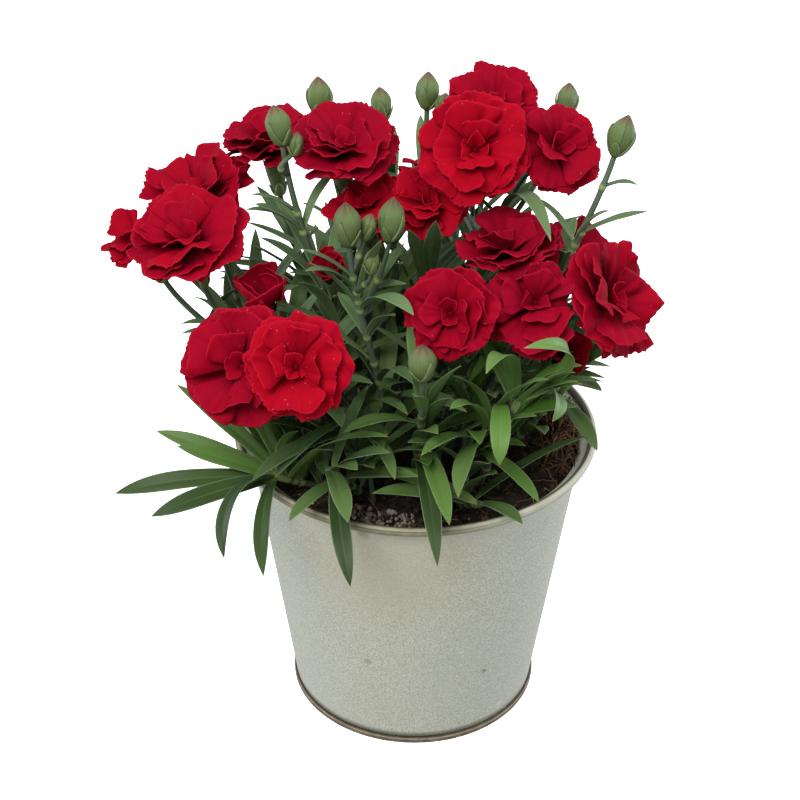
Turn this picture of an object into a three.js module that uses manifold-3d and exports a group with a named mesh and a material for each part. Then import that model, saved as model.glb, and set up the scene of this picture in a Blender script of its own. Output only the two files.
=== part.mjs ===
// Potted dianthus: a sheet-metal pot with a rolled rim, its soil, leafy stems, buds and double blooms.
// Millimetres, +Z up, with the origin at the middle of the pot's foot.
import * as THREE from 'three';
import { mergeVertices } from 'three/addons/utils/BufferGeometryUtils.js';
import Module from 'manifold-3d';

const wasm = await Module();
wasm.setup();

// ---- driving dimensions: pot and soil ----------------------------------------------------------------

const GAP = 0.3;
const POT_HEIGHT = 120;
const RIM_RADIUS = 70;
const FOOT_RADIUS = 50;
const SHEET = 1;
const POT_SIDES = 28;
const BEAD_RADIUS = 1.65;
const HEAD_RADIUS = 64.5;
const FLARE = 1.4;
const RING_HEIGHT = 2.6;
const RING_LIP = 2.6;
const PLATE = 1.2;
const WALL_INSET = 1;
const WALL_FOOT = RING_HEIGHT + GAP;
const WALL_HEAD = POT_HEIGHT - 2 * BEAD_RADIUS - FLARE;
const BEAD_CENTRE = RIM_RADIUS - BEAD_RADIUS;
const SOIL_HEIGHT = 111;
const SOIL_RELIEF = 1.2;
const CROWN_RADIUS = 43;
const SOIL_CLEARANCE = 0.4;

// ---- driving dimensions: stems, leaves, calyces, buds and petals -------------------------------------

const STEM_RADIUS = 1.45;
const BRANCH_RADIUS = 1.1;
const STEM_SIDES = 5;
const STEM_STEP = 27;
const ROOT_DEPTH = 7.7;
const HOLE_RADIUS = 3.2;
const HOLE_SIDES = 4;
const HOLE_BELOW = 0.9;
const HOLE_ABOVE = 4;
const ROOT_SPACING = 8.5;
const ROOT_REACH = 52;
const KEEL = 1.15;
const LEAF_STEPS = 24;
const SHORT_LEAF = 52;
const LONG_LEAF = 66;
const CALYX_LENGTH = 16;
const CALYX_RADIUS = 4.2;
const CALYX_FOOT_RADIUS = 2.5;
const CALYX_DISH = 2;
const SPINDLE_RADIUS = 3.5;
const SPINDLE_HEIGHT = 9;
const PETAL_THICKNESS = 0.9;
const PETAL_ROOT_RADIUS = 0.6;
const ROUND_SIDES = 5;

// The tips of paired leaves stay within a reach of the pot's axis, which widens with height over the rim.
const PAIR_REACH = 68;
const PAIR_SPREAD = 0.25;

// Samples of every piece are kept this far from the samples of other pieces.
const CLEAR = 0.45;
const CELL = 4;
const SAMPLE_STEP = 2.2;
const SAMPLE_RADIUS = 1.15;
const ROUND_SAMPLE_RADIUS = 1.5;

// ---- the flower heads --------------------------------------------------------------------------------

// at: middle of the calyx mouth; axis: where the bloom faces; radius: reach of the outer petals;
// open: 1 for a flat bloom, about 0.35 for one that is half open; petals: outer, middle, inner.
const BLOOMS = {
  bloom_01: { at: [-54, 28, 219], axis: [-0.12, -0.1, 0.98], radius: 17, open: 0.78, petals: [5, 3, 2] },
  bloom_02: { at: [-26.5, 6, 228], axis: [0.05, -0.3, 0.95], radius: 19, open: 0.95, petals: [5, 4, 2] },
  bloom_03: { at: [-78, 8, 207], axis: [-0.25, -0.1, 0.96], radius: 22, open: 0.9, petals: [5, 3, 2] },
  bloom_04: { at: [-78.5, -26, 207], axis: [-0.15, -0.28, 0.95], radius: 21.5, open: 0.97, petals: [5, 4, 2] },
  bloom_05: { at: [-53, -34, 191], axis: [-0.1, -0.3, 0.95], radius: 7, open: 0.28, petals: [4, 0, 2] },
  bloom_06: { at: [-57.5, -56, 178], axis: [-0.25, -0.75, 0.6], radius: 22, open: 1, petals: [5, 4, 2] },
  bloom_07: { at: [-39, -79, 192.5], axis: [0, -0.82, 0.56], radius: 17.5, open: 1, petals: [5, 4, 2] },
  bloom_08: { at: [27, 38, 231], axis: [0.02, -0.3, 0.95], radius: 18.5, open: 0.9, petals: [5, 3, 2] },
  bloom_09: { at: [20, 2, 233], axis: [0, -0.78, 0.62], radius: 20, open: 1, petals: [5, 3, 2] },
  bloom_10: { at: [47, 6, 231], axis: [0.35, -0.65, 0.66], radius: 17.5, open: 1, petals: [5, 3, 2] },
  bloom_11: { at: [-18, 0, 209], axis: [-0.05, -0.4, 0.92], radius: 15.5, open: 0.9, petals: [5, 3, 1] },
  bloom_12: { at: [4, -4, 213], axis: [0, -0.5, 0.86], radius: 15, open: 0.9, petals: [5, 3, 2] },
  bloom_13: { at: [-31, -14, 193], axis: [-0.15, -0.5, 0.85], radius: 5.8, open: 0.4, petals: [4, 0, 2] },
  bloom_14: { at: [33, -20, 200], axis: [-0.1, 0, 1], radius: 19.5, open: 0.93, petals: [5, 3, 2] },
  bloom_15: { at: [55.5, 12, 181.5], axis: [0.1, -0.15, 0.97], radius: 17, open: 0.9, petals: [5, 3, 1] },
  bloom_16: { at: [63, -26, 188], axis: [0.75, -0.42, 0.5], radius: 22, open: 1, petals: [5, 4, 2] },
  bloom_17: { at: [13.5, -47, 195], axis: [-0.35, -0.78, 0.52], radius: 16.5, open: 1, petals: [5, 4, 2] },
  bloom_18: { at: [40, -38, 192.5], axis: [0.1, -0.65, 0.75], radius: 19.5, open: 1, petals: [5, 3, 2] },
  bloom_19: { at: [52, -30, 169], axis: [0.3, -0.6, 0.74], radius: 7.4, open: 0.45, petals: [4, 0, 2] },
  bloom_20: { at: [8, 72, 186], axis: [-0.05, 0.55, 0.84], radius: 17, open: 0.95, petals: [5, 3, 1] },
  bloom_21: { at: [-98.5, -6, 198], axis: [-0.35, -0.2, 0.91], radius: 13.5, open: 0.85, petals: [5, 3, 1] },
};
// Small or half hidden blooms, whose outer petals have fewer faces.
const PLAIN_BLOOMS = [
  'bloom_01', 'bloom_03', 'bloom_05', 'bloom_08', 'bloom_11', 'bloom_12', 'bloom_13', 'bloom_14', 'bloom_15',
  'bloom_19', 'bloom_20', 'bloom_21',
];

// at: middle of the bud; axis: where its tip points.
const BUDS = {
  bud_01: { at: [-36, 22, 246], axis: [-0.05, 0, 1], length: 15, width: 9.4 },
  bud_02: { at: [-49, -4, 246], axis: [-0.2, 0, 0.98], length: 15, width: 9.4 },
  bud_03: { at: [-43, -4, 239], axis: [0.15, 0, 0.99], length: 9, width: 5.4 },
  bud_04: { at: [-14, 34, 238], axis: [-0.1, 0.1, 0.99], length: 13, width: 8 },
  bud_05: { at: [3, 14, 252], axis: [0.02, 0, 1], length: 14, width: 9 },
  bud_06: { at: [8.5, 11, 248], axis: [0.25, -0.1, 0.96], length: 9, width: 5.4 },
  bud_07: { at: [54, 30, 242], axis: [0.1, 0.1, 0.99], length: 13, width: 8 },
  bud_08: { at: [70, -10, 246], axis: [0.25, 0, 0.97], length: 15.5, width: 9.6 },
  bud_09: { at: [-24, -36, 224], axis: [-0.05, -0.1, 0.99], length: 17, width: 10 },
  bud_10: { at: [-17, -32, 221], axis: [0.25, 0, 0.97], length: 10, width: 6 },
  bud_11: { at: [-15.5, -42, 213], axis: [0, -0.15, 0.99], length: 10, width: 5.6 },
  bud_12: { at: [-9, -30, 223], axis: [0.08, -0.05, 0.99], length: 17, width: 9.6 },
  bud_13: { at: [2, -62, 185], axis: [-0.02, -0.05, 1], length: 14, width: 10.4 },
  bud_14: { at: [38, 62, 196], axis: [0.2, 0.25, 0.95], length: 14, width: 9 },
};

// ---- the stems ---------------------------------------------------------------------------------------

// heads: the blooms or buds that a stem carries, the first at its own end and the others on side shoots,
// which leave it at the share of its length in forks. pairs: places of its leaf pairs, as such shares.
// leaves: single leaves drawn one by one, each [share of the stem, tip, bend, width, lean].
const FLOWER_STEMS = [
  { name: 'stem_01', heads: ['bloom_01'], pairs: [0.25, 0.5] },
  { name: 'stem_02', heads: ['bloom_02'], pairs: [0.3, 0.6] },
  {
    name: 'stem_03', heads: ['bloom_04', 'bloom_03'], forks: [0.6], pairs: [0.25, 0.45],
    leaves: [[0.68, [-87, -12, 166], 0.7, 4.6, 0], [0.74, [-85, -22, 176], 0.6, 4.2, 0]],
  },
  { name: 'stem_04', heads: ['bloom_05'], pairs: [0.3, 0.6] },
  { name: 'stem_05', heads: ['bloom_06', 'bloom_07'], forks: [0.5], pairs: [0.2] },
  { name: 'stem_06', heads: ['bloom_08', 'bloom_09'], forks: [0.62], pairs: [0.3, 0.5] },
  {
    name: 'stem_07', heads: ['bloom_10', 'bud_07'], forks: [0.6], pairs: [0.25, 0.5],
    leaves: [[0.7, [45, -42, 221], 0.9, 6.2, 0]],
  },
  { name: 'stem_08', heads: ['bloom_11', 'bloom_13'], forks: [0.45], pairs: [0.62] },
  {
    name: 'stem_09', heads: ['bloom_12'], pairs: [0.3],
    leaves: [[0.7, [6, -34, 229], 0.25, 6.4, 0], [0.66, [-3, -35, 226], 0.5, 5.4, 0]],
  },
  { name: 'stem_10', heads: ['bloom_14'], pairs: [0.3] },
  { name: 'stem_11', heads: ['bloom_16', 'bloom_15'], forks: [0.5], pairs: [0.25, 0.7] },
  { name: 'stem_12', heads: ['bloom_17'], pairs: [0.5] },
  {
    name: 'stem_13', heads: ['bloom_18', 'bloom_19'], forks: [0.53], pairs: [0.27],
    leaves: [[0.55, [72, -14, 155], 0.7, 5.2, 0], [0.47, [70, -10, 146], 0.6, 5, 0]],
  },
  {
    name: 'stem_14', heads: ['bud_02', 'bud_03'], forks: [0.9], pairs: [0.35],
    leaves: [[0.72, [-61, -10, 216], 0.9, 4.4, 0], [0.78, [-59, -8, 221], 0.7, 3.8, 0]],
  },
  { name: 'stem_15', heads: ['bud_01'], pairs: [0.35] },
  { name: 'stem_16', heads: ['bud_04'], pairs: [0.35, 0.7] },
  { name: 'stem_17', heads: ['bud_05', 'bud_06'], forks: [0.92], pairs: [0.4, 0.75] },
  {
    name: 'stem_18', heads: ['bud_08'], pairs: [0.35],
    leaves: [
      [0.9, [76, -16, 230], 0.8, 3.6, 0], [0.76, [84, 8, 208], 0.3, 3.8, 0],
      [0.7, [44, -2, 200], 0.6, 4, 0],
    ],
  },
  {
    name: 'stem_19', heads: ['bud_09', 'bud_10', 'bud_11', 'bud_12'], forks: [0.88, 0.8, 0.68], pairs: [0.3],
    leaves: [
      [0.8, [-38, -46, 211], 0.9, 6, 0], [0.86, [-39, -38, 215], 0.4, 4.4, 0],
      [0.72, [-1, -58, 201], 0.9, 6.6, 0], [0.76, [-12, -52, 226], 0.3, 4.4, 0],
    ],
  },
  {
    name: 'stem_20', heads: ['bud_13'], pairs: [],
    leaves: [
      [0.62, [-25, -68, 160], 0.9, 6.4, 0], [0.64, [15, -64, 190], 0.4, 6.8, 0],
      [0.42, [12, -84, 133], 0.7, 7.4, 0], [0.3, [8, -93, 122], 0.9, 7, 0],
      [0.26, [18, -48, 158], 0.3, 6.8, 0],
    ],
  },
  { name: 'stem_21', heads: ['bloom_20', 'bud_14'], forks: [0.6], pairs: [0.5] },
  { name: 'stem_22', heads: ['bloom_21'], pairs: [0.25, 0.55] },
];

// Leafy shoots have no flower. tip: the end of the shoot's own stem.
const SHOOTS = [
  {
    name: 'shoot_01', tip: [-51, -44, 125], pairs: [],
    leaves: [
      [0.9, [-109, -52, 122], 0.7, 7.8, -0.5], [0.94, [-94, -66, 122], 0.55, 7.8, -0.5],
      [0.8, [-95, -36, 139], 0.35, 7.2, -0.6], [0.86, [-86, -46, 139], 0.3, 7, -0.6],
      [0.84, [-87, -31, 156], 0.3, 7.4, -0.3], [0.97, [-66, -86, 119], 1.7, 7.2, 0.5],
      [0.97, [-52, -92, 116], 0.8, 6.6, 0.4], [0.9, [-42, -46, 146], 1.2, 6.6, -0.5],
      [0.7, [-70, -22, 143], 0.4, 6.4, 0],
    ],
  },
  {
    name: 'shoot_02', tip: [-31, -50, 132], pairs: [],
    leaves: [
      [0.8, [-22, -92, 112], 1.2, 7.4, 0.2], [0.63, [-44, -76, 128], 0.6, 6.4, 0],
      [0.9, [-17, -40, 162], 0.3, 6.4, 0], [0.97, [-23, -82, 132], 0.9, 7.4, 0],
      [0.85, [-20, -70, 146], 0.7, 6.8, 0.2],
    ],
  },
  {
    name: 'shoot_03', tip: [-26, -38, 150], pairs: [0.35],
    leaves: [
      [0.82, [-7, -70, 142], 0.9, 6.6, -0.3], [0.86, [-50, -58, 134], 0.7, 7.6, 0.2],
      [0.7, [-58, -54, 140], 0.8, 7, 0],
    ],
  },
  {
    name: 'shoot_04', tip: [30, -46, 158], pairs: [],
    leaves: [
      [0.6, [15, -76, 139], 0.9, 7.4, 0.3], [0.56, [2, -74, 155], 0.8, 6.8, 0],
      [0.5, [44, -66, 130], 0.7, 6.6, 0], [0.78, [13, -56, 176], 0.7, 6.8, 0],
      [0.98, [29, -72, 150], 2, 7.4, 0],
    ],
  },
  {
    name: 'shoot_05', tip: [36, -46, 160], pairs: [0.4],
    leaves: [
      [0.95, [47, -64, 163], 2.8, 7.8, -0.9], [0.92, [51, -60, 181], 0.3, 7.2, 0],
      [0.98, [35, -74, 203], 1.8, 7, -1.2], [0.9, [23, -74, 193], 1.7, 7.4, 0],
      [0.8, [58, -34, 150], 0.6, 6.8, 0],
    ],
  },
  { name: 'shoot_06', tip: [24, -56, 122], pairs: [0.9], leaves: [[0.8, [38, -72, 125], 0.8, 6.6, 0]] },
  { name: 'shoot_07', tip: [58, -2, 140], pairs: [0.6, 0.95], leaves: [[0.8, [66, -42, 136], 0.5, 7, 0]] },
  { name: 'shoot_08', tip: [44, 40, 142], pairs: [0.6, 0.97] },
  { name: 'shoot_09', tip: [6, 56, 138], pairs: [0.6, 0.97] },
  { name: 'shoot_10', tip: [-36, 44, 142], pairs: [0.6, 0.97] },
  { name: 'shoot_11', tip: [-58, 10, 138], pairs: [0.75, 0.97] },
];

// ---- colours -----------------------------------------------------------------------------------------

const METAL_PAINT = new THREE.MeshStandardMaterial({ color: 0xb4b6a4, roughness: 0.4, metalness: 0.6 });
const SEAM_PAINT = new THREE.MeshStandardMaterial({ color: 0x8d8b74, roughness: 0.45, metalness: 0.6 });
const PEAT = new THREE.MeshStandardMaterial({ color: 0x2b211a, roughness: 1, metalness: 0 });
const STEM_GREEN = new THREE.MeshStandardMaterial({ color: 0x4c6b4b, roughness: 0.6, metalness: 0 });
const SHOOT_GREEN = new THREE.MeshStandardMaterial({ color: 0x456a3a, roughness: 0.6, metalness: 0 });
const PETAL_RED = new THREE.MeshStandardMaterial({ color: 0xb80d1d, roughness: 0.7, metalness: 0 });

// ---- small helpers -----------------------------------------------------------------------------------

const TAU = 2 * Math.PI;
const UP = new THREE.Vector3(0, 0, 1);

function vector([x, y, z]) {
  return new THREE.Vector3(x, y, z);
}

function mix(a, b, t) {
  return a + (b - a) * t;
}

// Mulberry32: the same draws for the same seed.
function randomFrom(seed) {
  let state = seed;
  return () => {
    state = (state + 0x6d2b79f5) | 0;
    let t = Math.imul(state ^ (state >>> 15), state | 1);
    t ^= t + Math.imul(t ^ (t >>> 7), t | 61);
    return ((t ^ (t >>> 14)) >>> 0) / 4294967296;
  };
}

// Two directions square to an axis: the first level, the second completing a right-handed frame.
function frameAbout(axis) {
  const level = new THREE.Vector3().crossVectors(axis, UP);
  if (level.length() < 0.001) {
    level.set(1, 0, 0);
  }
  level.normalize();
  const across = new THREE.Vector3().crossVectors(axis, level);
  return { level, across };
}

// The height of the soil: level among the stems, with low mounds between them and the wall.
function soilHeight(x, y) {
  const share = THREE.MathUtils.clamp((Math.hypot(x, y) - CROWN_RADIUS) / 8, 0, 1);
  const mounds = Math.sin(0.19 * x + 1.1) * Math.cos(0.23 * y - 0.4) + 0.6 * Math.sin(0.41 * x - 0.37 * y);
  return SOIL_HEIGHT + SOIL_RELIEF * mounds * share;
}

// Radius of the wall's outside at a height.
function wallRadius(z) {
  const share = (z - WALL_FOOT) / (WALL_HEAD - WALL_FOOT);
  return mix(FOOT_RADIUS - WALL_INSET, HEAD_RADIUS, share);
}

// ---- keeping the pieces clear of each other -----------------------------------------------------------

// A sample is [x, y, z, radius]. The samples of placed pieces are kept by grid cell.
const cells = new Map();

function cellKey(i, j, k) {
  return ((i + 512) * 1024 + (j + 512)) * 1024 + (k + 512);
}

function place(samples, owner) {
  for (const sample of samples) {
    const key = cellKey(...sample.slice(0, 3).map((v) => Math.floor(v / CELL)));
    if (!cells.has(key)) {
      cells.set(key, []);
    }
    cells.get(key).push([...sample, owner]);
  }
}

function meetsPot(x, y, z, radius) {
  const margin = radius + CLEAR;
  const reach = Math.hypot(x, y);
  if (z > POT_HEIGHT + margin || reach > RIM_RADIUS + margin) {
    return false;
  }
  if (z < WALL_HEAD && reach > wallRadius(z) + margin) {
    return false;
  }
  const inside = HEAD_RADIUS - SHEET - margin;
  return reach > inside || z < soilHeight(x, y) + margin;
}

function isClear(samples, ignored) {
  for (const [x, y, z, radius] of samples) {
    if (meetsPot(x, y, z, radius)) {
      return false;
    }
    const [ci, cj, ck] = [x, y, z].map((v) => Math.floor(v / CELL));
    for (let i = ci - 1; i <= ci + 1; i++) {
      for (let j = cj - 1; j <= cj + 1; j++) {
        for (let k = ck - 1; k <= ck + 1; k++) {
          for (const [px, py, pz, other, owner] of cells.get(cellKey(i, j, k)) ?? []) {
            const least = radius + other + CLEAR;
            const distance = (px - x) ** 2 + (py - y) ** 2 + (pz - z) ** 2;
            if (distance < least * least && !ignored.includes(owner)) {
              return false;
            }
          }
        }
      }
    }
  }
  return true;
}

// The first of the tries that is clear, or null.
function firstClear(tries, samplesOf, ignored) {
  return tries.find((item) => isClear(samplesOf(item), ignored)) ?? null;
}

// ---- leaves ------------------------------------------------------------------------------------------

// A leaf's midrib lies in a plane: its heading turns by bend from base to tip, faster towards the tip where
// power is over 1. The plane holds the straight line from base to tip and leans out of the vertical by lean.
function leafCurve({ base, tip, bend, power, lean }) {
  const chord = vector(tip).sub(vector(base));
  const span = chord.length();
  const heading = Math.atan2(chord.y, chord.x);
  const rise = Math.asin(chord.z / span);
  chord.normalize();
  const upright = new THREE.Vector3(
    -Math.sin(rise) * Math.cos(heading), -Math.sin(rise) * Math.sin(heading), Math.cos(rise),
  );
  const aside = new THREE.Vector3(Math.sin(heading), -Math.cos(heading), 0);
  const arch = upright.multiplyScalar(Math.cos(lean)).addScaledVector(aside, Math.sin(lean));
  const side = new THREE.Vector3().crossVectors(arch, chord);

  const along = [0];
  const above = [0];
  for (let k = 0; k < LEAF_STEPS; k++) {
    const turn = -bend * ((k + 0.5) / LEAF_STEPS) ** power;
    along.push(along[k] + Math.cos(turn));
    above.push(above[k] + Math.sin(turn));
  }
  const offset = Math.atan2(above[LEAF_STEPS], along[LEAF_STEPS]);
  const scale = span / Math.hypot(above[LEAF_STEPS], along[LEAF_STEPS]);
  const start = vector(base);

  return {
    length: scale * LEAF_STEPS,
    side,
    at(s) {
      const k = Math.min(LEAF_STEPS - 1, Math.floor(s * LEAF_STEPS));
      const part = s * LEAF_STEPS - k;
      const x = mix(along[k], along[k + 1], part);
      const y = mix(above[k], above[k + 1], part);
      const a = scale * (x * Math.cos(offset) + y * Math.sin(offset));
      const b = scale * (y * Math.cos(offset) - x * Math.sin(offset));
      const point = start.clone().addScaledVector(chord, a).addScaledVector(arch, b);
      const turn = -bend * s ** power - offset;
      const normal = arch.clone().multiplyScalar(Math.cos(turn)).addScaledVector(chord, -Math.sin(turn));
      return { point, normal };
    },
  };
}

// Half the width of a leaf: narrow where it clasps the stem, widest past the middle, pointed at the tip.
function leafHalfWidth(width, s) {
  return 0.5 * width * Math.min(0.16 + 4.2 * s, 0.5 + 1.03 * s) * (1 - s ** 4);
}

function leafSamples(leaf) {
  const curve = leafCurve(leaf);
  const steps = Math.ceil(curve.length / SAMPLE_STEP);
  const samples = [];
  for (let i = 1; i <= steps; i++) {
    const s = i / steps;
    const { point } = curve.at(s);
    const half = Math.max(0, leafHalfWidth(leaf.width, s) - 0.5 * SAMPLE_RADIUS);
    const across = Math.ceil((2 * half) / SAMPLE_STEP);
    for (let j = 0; j <= across; j++) {
      const q = across === 0 ? 0 : (2 * j) / across - 1;
      const spot = point.clone().addScaledVector(curve.side, q * half);
      samples.push([spot.x, spot.y, spot.z, SAMPLE_RADIUS]);
    }
  }
  return samples;
}

// Sections with two edges, a channel between them and a keel below, from the root, a point inside the stem,
// to a pointed tip.
function leafSolid(leaf, root) {
  const curve = leafCurve(leaf);
  const strong = leaf.bend > 1.1 || curve.length > LONG_LEAF;
  const short = curve.length < SHORT_LEAF && leaf.bend < 0.8;
  const stations = strong ? [0.14, 0.34, 0.58, 0.82] : short ? [0.25, 0.7] : [0.18, 0.5, 0.8];
  const points = [root];
  for (const s of stations) {
    const { point, normal } = curve.at(s);
    const half = leafHalfWidth(leaf.width, s);
    const lift = 0.22 * half;
    points.push(point.clone().addScaledVector(curve.side, half).addScaledVector(normal, lift));
    points.push(point.clone());
    points.push(point.clone().addScaledVector(curve.side, -half).addScaledVector(normal, lift));
    points.push(point.clone().addScaledVector(normal, -KEEL * (1 - 0.35 * s)));
  }
  points.push(curve.at(1).point);

  const faces = [];
  const end = points.length - 1;
  for (let j = 0; j < 4; j++) {
    const next = (j + 1) % 4;
    faces.push([0, 1 + j, 1 + next]);
    for (let i = 0; i + 1 < stations.length; i++) {
      const a = 1 + 4 * i + j;
      const b = 1 + 4 * i + next;
      faces.push([a, a + 4, b], [b, a + 4, b + 4]);
    }
    faces.push([end - 4 + j, end, end - 4 + next]);
  }
  return solidFrom(points, faces);
}

// ---- petals ------------------------------------------------------------------------------------------

// A petal rises from the bloom's middle at the angle from, measured off the axis, and opens to the angle to.
// s runs from claw to edge and q across it from -1 to 1. Its point is lifted along the petal's own normal
// by a cup across it, a roll that lets neighbours overlap, and a wave that grows to the edge.
function petalPoint(bloom, petal, s, q, lift) {
  const { axis, level, across } = bloom.frame;
  const radial = level.clone().multiplyScalar(Math.cos(petal.azimuth));
  radial.addScaledVector(across, Math.sin(petal.azimuth));
  const tangent = new THREE.Vector3().crossVectors(axis, radial);
  const run = s * (1 - 0.2 * q * q);
  const turn = petal.to - petal.from;
  const angle = petal.from + turn * run;
  const out = PETAL_ROOT_RADIUS + (petal.length * (Math.cos(petal.from) - Math.cos(angle))) / turn;
  const height = petal.root + (petal.length * (Math.sin(angle) - Math.sin(petal.from))) / turn;
  const spread = petalHalfWidth(petal, s) * q;
  const wave = petal.wave * Math.sin(3.1 * q + petal.phase) * s * s;
  const rise = petal.half * (petal.cup * q * q * s + petal.roll * q * s + wave) + lift;
  return bloom.mouth.clone()
    .addScaledVector(axis, height + rise * Math.sin(angle))
    .addScaledVector(radial, out - rise * Math.cos(angle))
    .addScaledVector(tangent, spread);
}

// A narrow claw that fans out to the petal's full width.
function petalHalfWidth(petal, s) {
  return petal.half * (0.06 + 0.94 * Math.min(1, s / 0.82) ** 2);
}

function petalSamples(bloom, petal) {
  const samples = [];
  const rows = Math.ceil(petal.length / SAMPLE_STEP);
  for (let i = 1; i <= rows; i++) {
    const s = i / rows;
    if (s < 0.25) {
      continue;
    }
    const half = petalHalfWidth(petal, s);
    const columns = Math.ceil((2 * half) / SAMPLE_STEP);
    for (let j = 0; j <= columns; j++) {
      const q = (2 * j) / columns - 1;
      const spot = petalPoint(bloom, petal, s, 0.95 * q, 0);
      samples.push([spot.x, spot.y, spot.z, SAMPLE_RADIUS]);
    }
  }
  return samples;
}

// The front and back share the petal's outline and part between it, so its edges are thin and cut in teeth.
function petalSolid(bloom, petal) {
  const points = [];
  const front = [];
  const back = [];
  const add = (s, q, inner) => {
    const lift = inner ? PETAL_THICKNESS / 2 : 0;
    front.push(points.length);
    points.push(petalPoint(bloom, petal, s, q, lift));
    if (inner) {
      back.push(points.length);
      points.push(petalPoint(bloom, petal, s, q, -lift));
    } else {
      back.push(front[front.length - 1]);
    }
  };
  const middle = petal.fine ? 0.45 : 0.52;
  add(0, 0, false);
  add(middle, -1, false);
  add(middle, 0, true);
  add(middle, 1, false);
  let faces = [[0, 2, 1], [0, 3, 2]];
  const teeth = petal.fine ? 7 : 5;
  const edge = petal.fine ? 9 : 4;
  if (petal.fine) {
    add(0.78, -1, false);
    add(0.8, -0.5, true);
    add(0.8, 0, true);
    add(0.8, 0.5, true);
    add(0.78, 1, false);
    faces = faces.concat([[1, 2, 5], [1, 5, 4], [2, 6, 5], [2, 7, 6], [2, 3, 7], [3, 8, 7]]);
  }
  for (let j = 0; j < teeth; j++) {
    add(j % 2 ? 0.93 : 1, 0.9 * ((2 * j) / (teeth - 1) - 1), false);
  }
  const inner = petal.fine ? [5, 5, 6, 6, 7, 7] : [2, 2, 2, 2];
  inner.forEach((corner, j) => faces.push([corner, edge + j + 1, edge + j]));
  if (petal.fine) {
    faces = faces.concat([[4, 5, 9], [5, 6, 11], [6, 7, 13], [7, 8, 15]]);
  } else {
    faces = faces.concat([[1, 2, 4], [2, 3, 8]]);
  }
  const both = [];
  for (const [a, b, c] of faces) {
    both.push([front[a], front[b], front[c]], [back[a], back[c], back[b]]);
  }
  return solidFrom(points, both);
}

// ---- solids ------------------------------------------------------------------------------------------

// A closed mesh as a manifold, with its faces turned outwards.
function toManifold(positions, indices) {
  let volume = 0;
  const corner = (i) => new THREE.Vector3().fromArray(positions, 3 * i);
  for (let t = 0; t < indices.length; t += 3) {
    const [a, b, c] = [corner(indices[t]), corner(indices[t + 1]), corner(indices[t + 2])];
    volume += a.dot(b.cross(c));
  }
  if (volume < 0) {
    for (let t = 0; t < indices.length; t += 3) {
      [indices[t + 1], indices[t + 2]] = [indices[t + 2], indices[t + 1]];
    }
  }
  const mesh = new wasm.Mesh({
    numProp: 3, vertProperties: new Float32Array(positions), triVerts: new Uint32Array(indices),
  });
  return new wasm.Manifold(mesh);
}

function solidFrom(points, faces) {
  return toManifold(points.flatMap((p) => p.toArray()), faces.flat());
}

function solidOf(geometry) {
  const bare = geometry.clone();
  bare.deleteAttribute('normal');
  bare.deleteAttribute('uv');
  const merged = mergeVertices(bare, 0.0001);
  const indices = [];
  const all = merged.index.array;
  for (let t = 0; t < all.length; t += 3) {
    const [a, b, c] = all.slice(t, t + 3);
    if (a !== b && b !== c && c !== a) {
      indices.push(a, b, c);
    }
  }
  return toManifold(Array.from(merged.attributes.position.array), indices);
}

// Joins solids into one body. A scrap, or a hollow that the joining seals, is dropped.
function fuse(solids) {
  const whole = solids.reduce((sum, solid) => sum.add(solid));
  const bodies = whole.decompose().sort((a, b) => b.volume() - a.volume());
  return bodies[0];
}

function geometryOf(solid) {
  const mesh = solid.getMesh();
  const geometry = new THREE.BufferGeometry();
  geometry.setAttribute('position', new THREE.BufferAttribute(new Float32Array(mesh.vertProperties), 3));
  geometry.setIndex(new THREE.BufferAttribute(new Uint32Array(mesh.triVerts), 1));
  geometry.computeVertexNormals();
  return geometry;
}

// A profile of [radius, height] turned about the Z axis.
function revolve(profile, sides) {
  const geometry = new THREE.LatheGeometry(profile.map(([r, z]) => new THREE.Vector2(r, z)), sides);
  return geometry.rotateX(Math.PI / 2);
}

// The same, about an axis through a point.
function revolveAbout(point, axis, profile, sides) {
  const turn = new THREE.Quaternion().setFromUnitVectors(UP, axis);
  return revolve(profile, sides).applyQuaternion(turn).translate(point.x, point.y, point.z);
}

// ---- pot and soil ------------------------------------------------------------------------------------

function potWall() {
  const foot = FOOT_RADIUS - WALL_INSET;
  const profile = [[foot, WALL_FOOT], [HEAD_RADIUS, WALL_HEAD]];
  for (const degrees of [-55, -10, 35, 85, 135, 180]) {
    const angle = THREE.MathUtils.degToRad(degrees);
    const r = BEAD_CENTRE + BEAD_RADIUS * Math.cos(angle);
    profile.push([r, POT_HEIGHT - BEAD_RADIUS + BEAD_RADIUS * Math.sin(angle)]);
  }
  profile.push([HEAD_RADIUS - SHEET, WALL_HEAD], [foot - SHEET, WALL_FOOT], [foot, WALL_FOOT]);
  return solidOf(revolve(profile, POT_SIDES));
}

function potBase() {
  const lip = FOOT_RADIUS - RING_LIP;
  const chamfer = 0.6;
  const profile = [
    [0, 0], [FOOT_RADIUS - chamfer, 0], [FOOT_RADIUS, chamfer], [FOOT_RADIUS, RING_HEIGHT - chamfer],
    [FOOT_RADIUS - chamfer, RING_HEIGHT], [lip, RING_HEIGHT], [lip, PLATE], [0, PLATE],
  ];
  return solidOf(revolve(profile, POT_SIDES));
}

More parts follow.
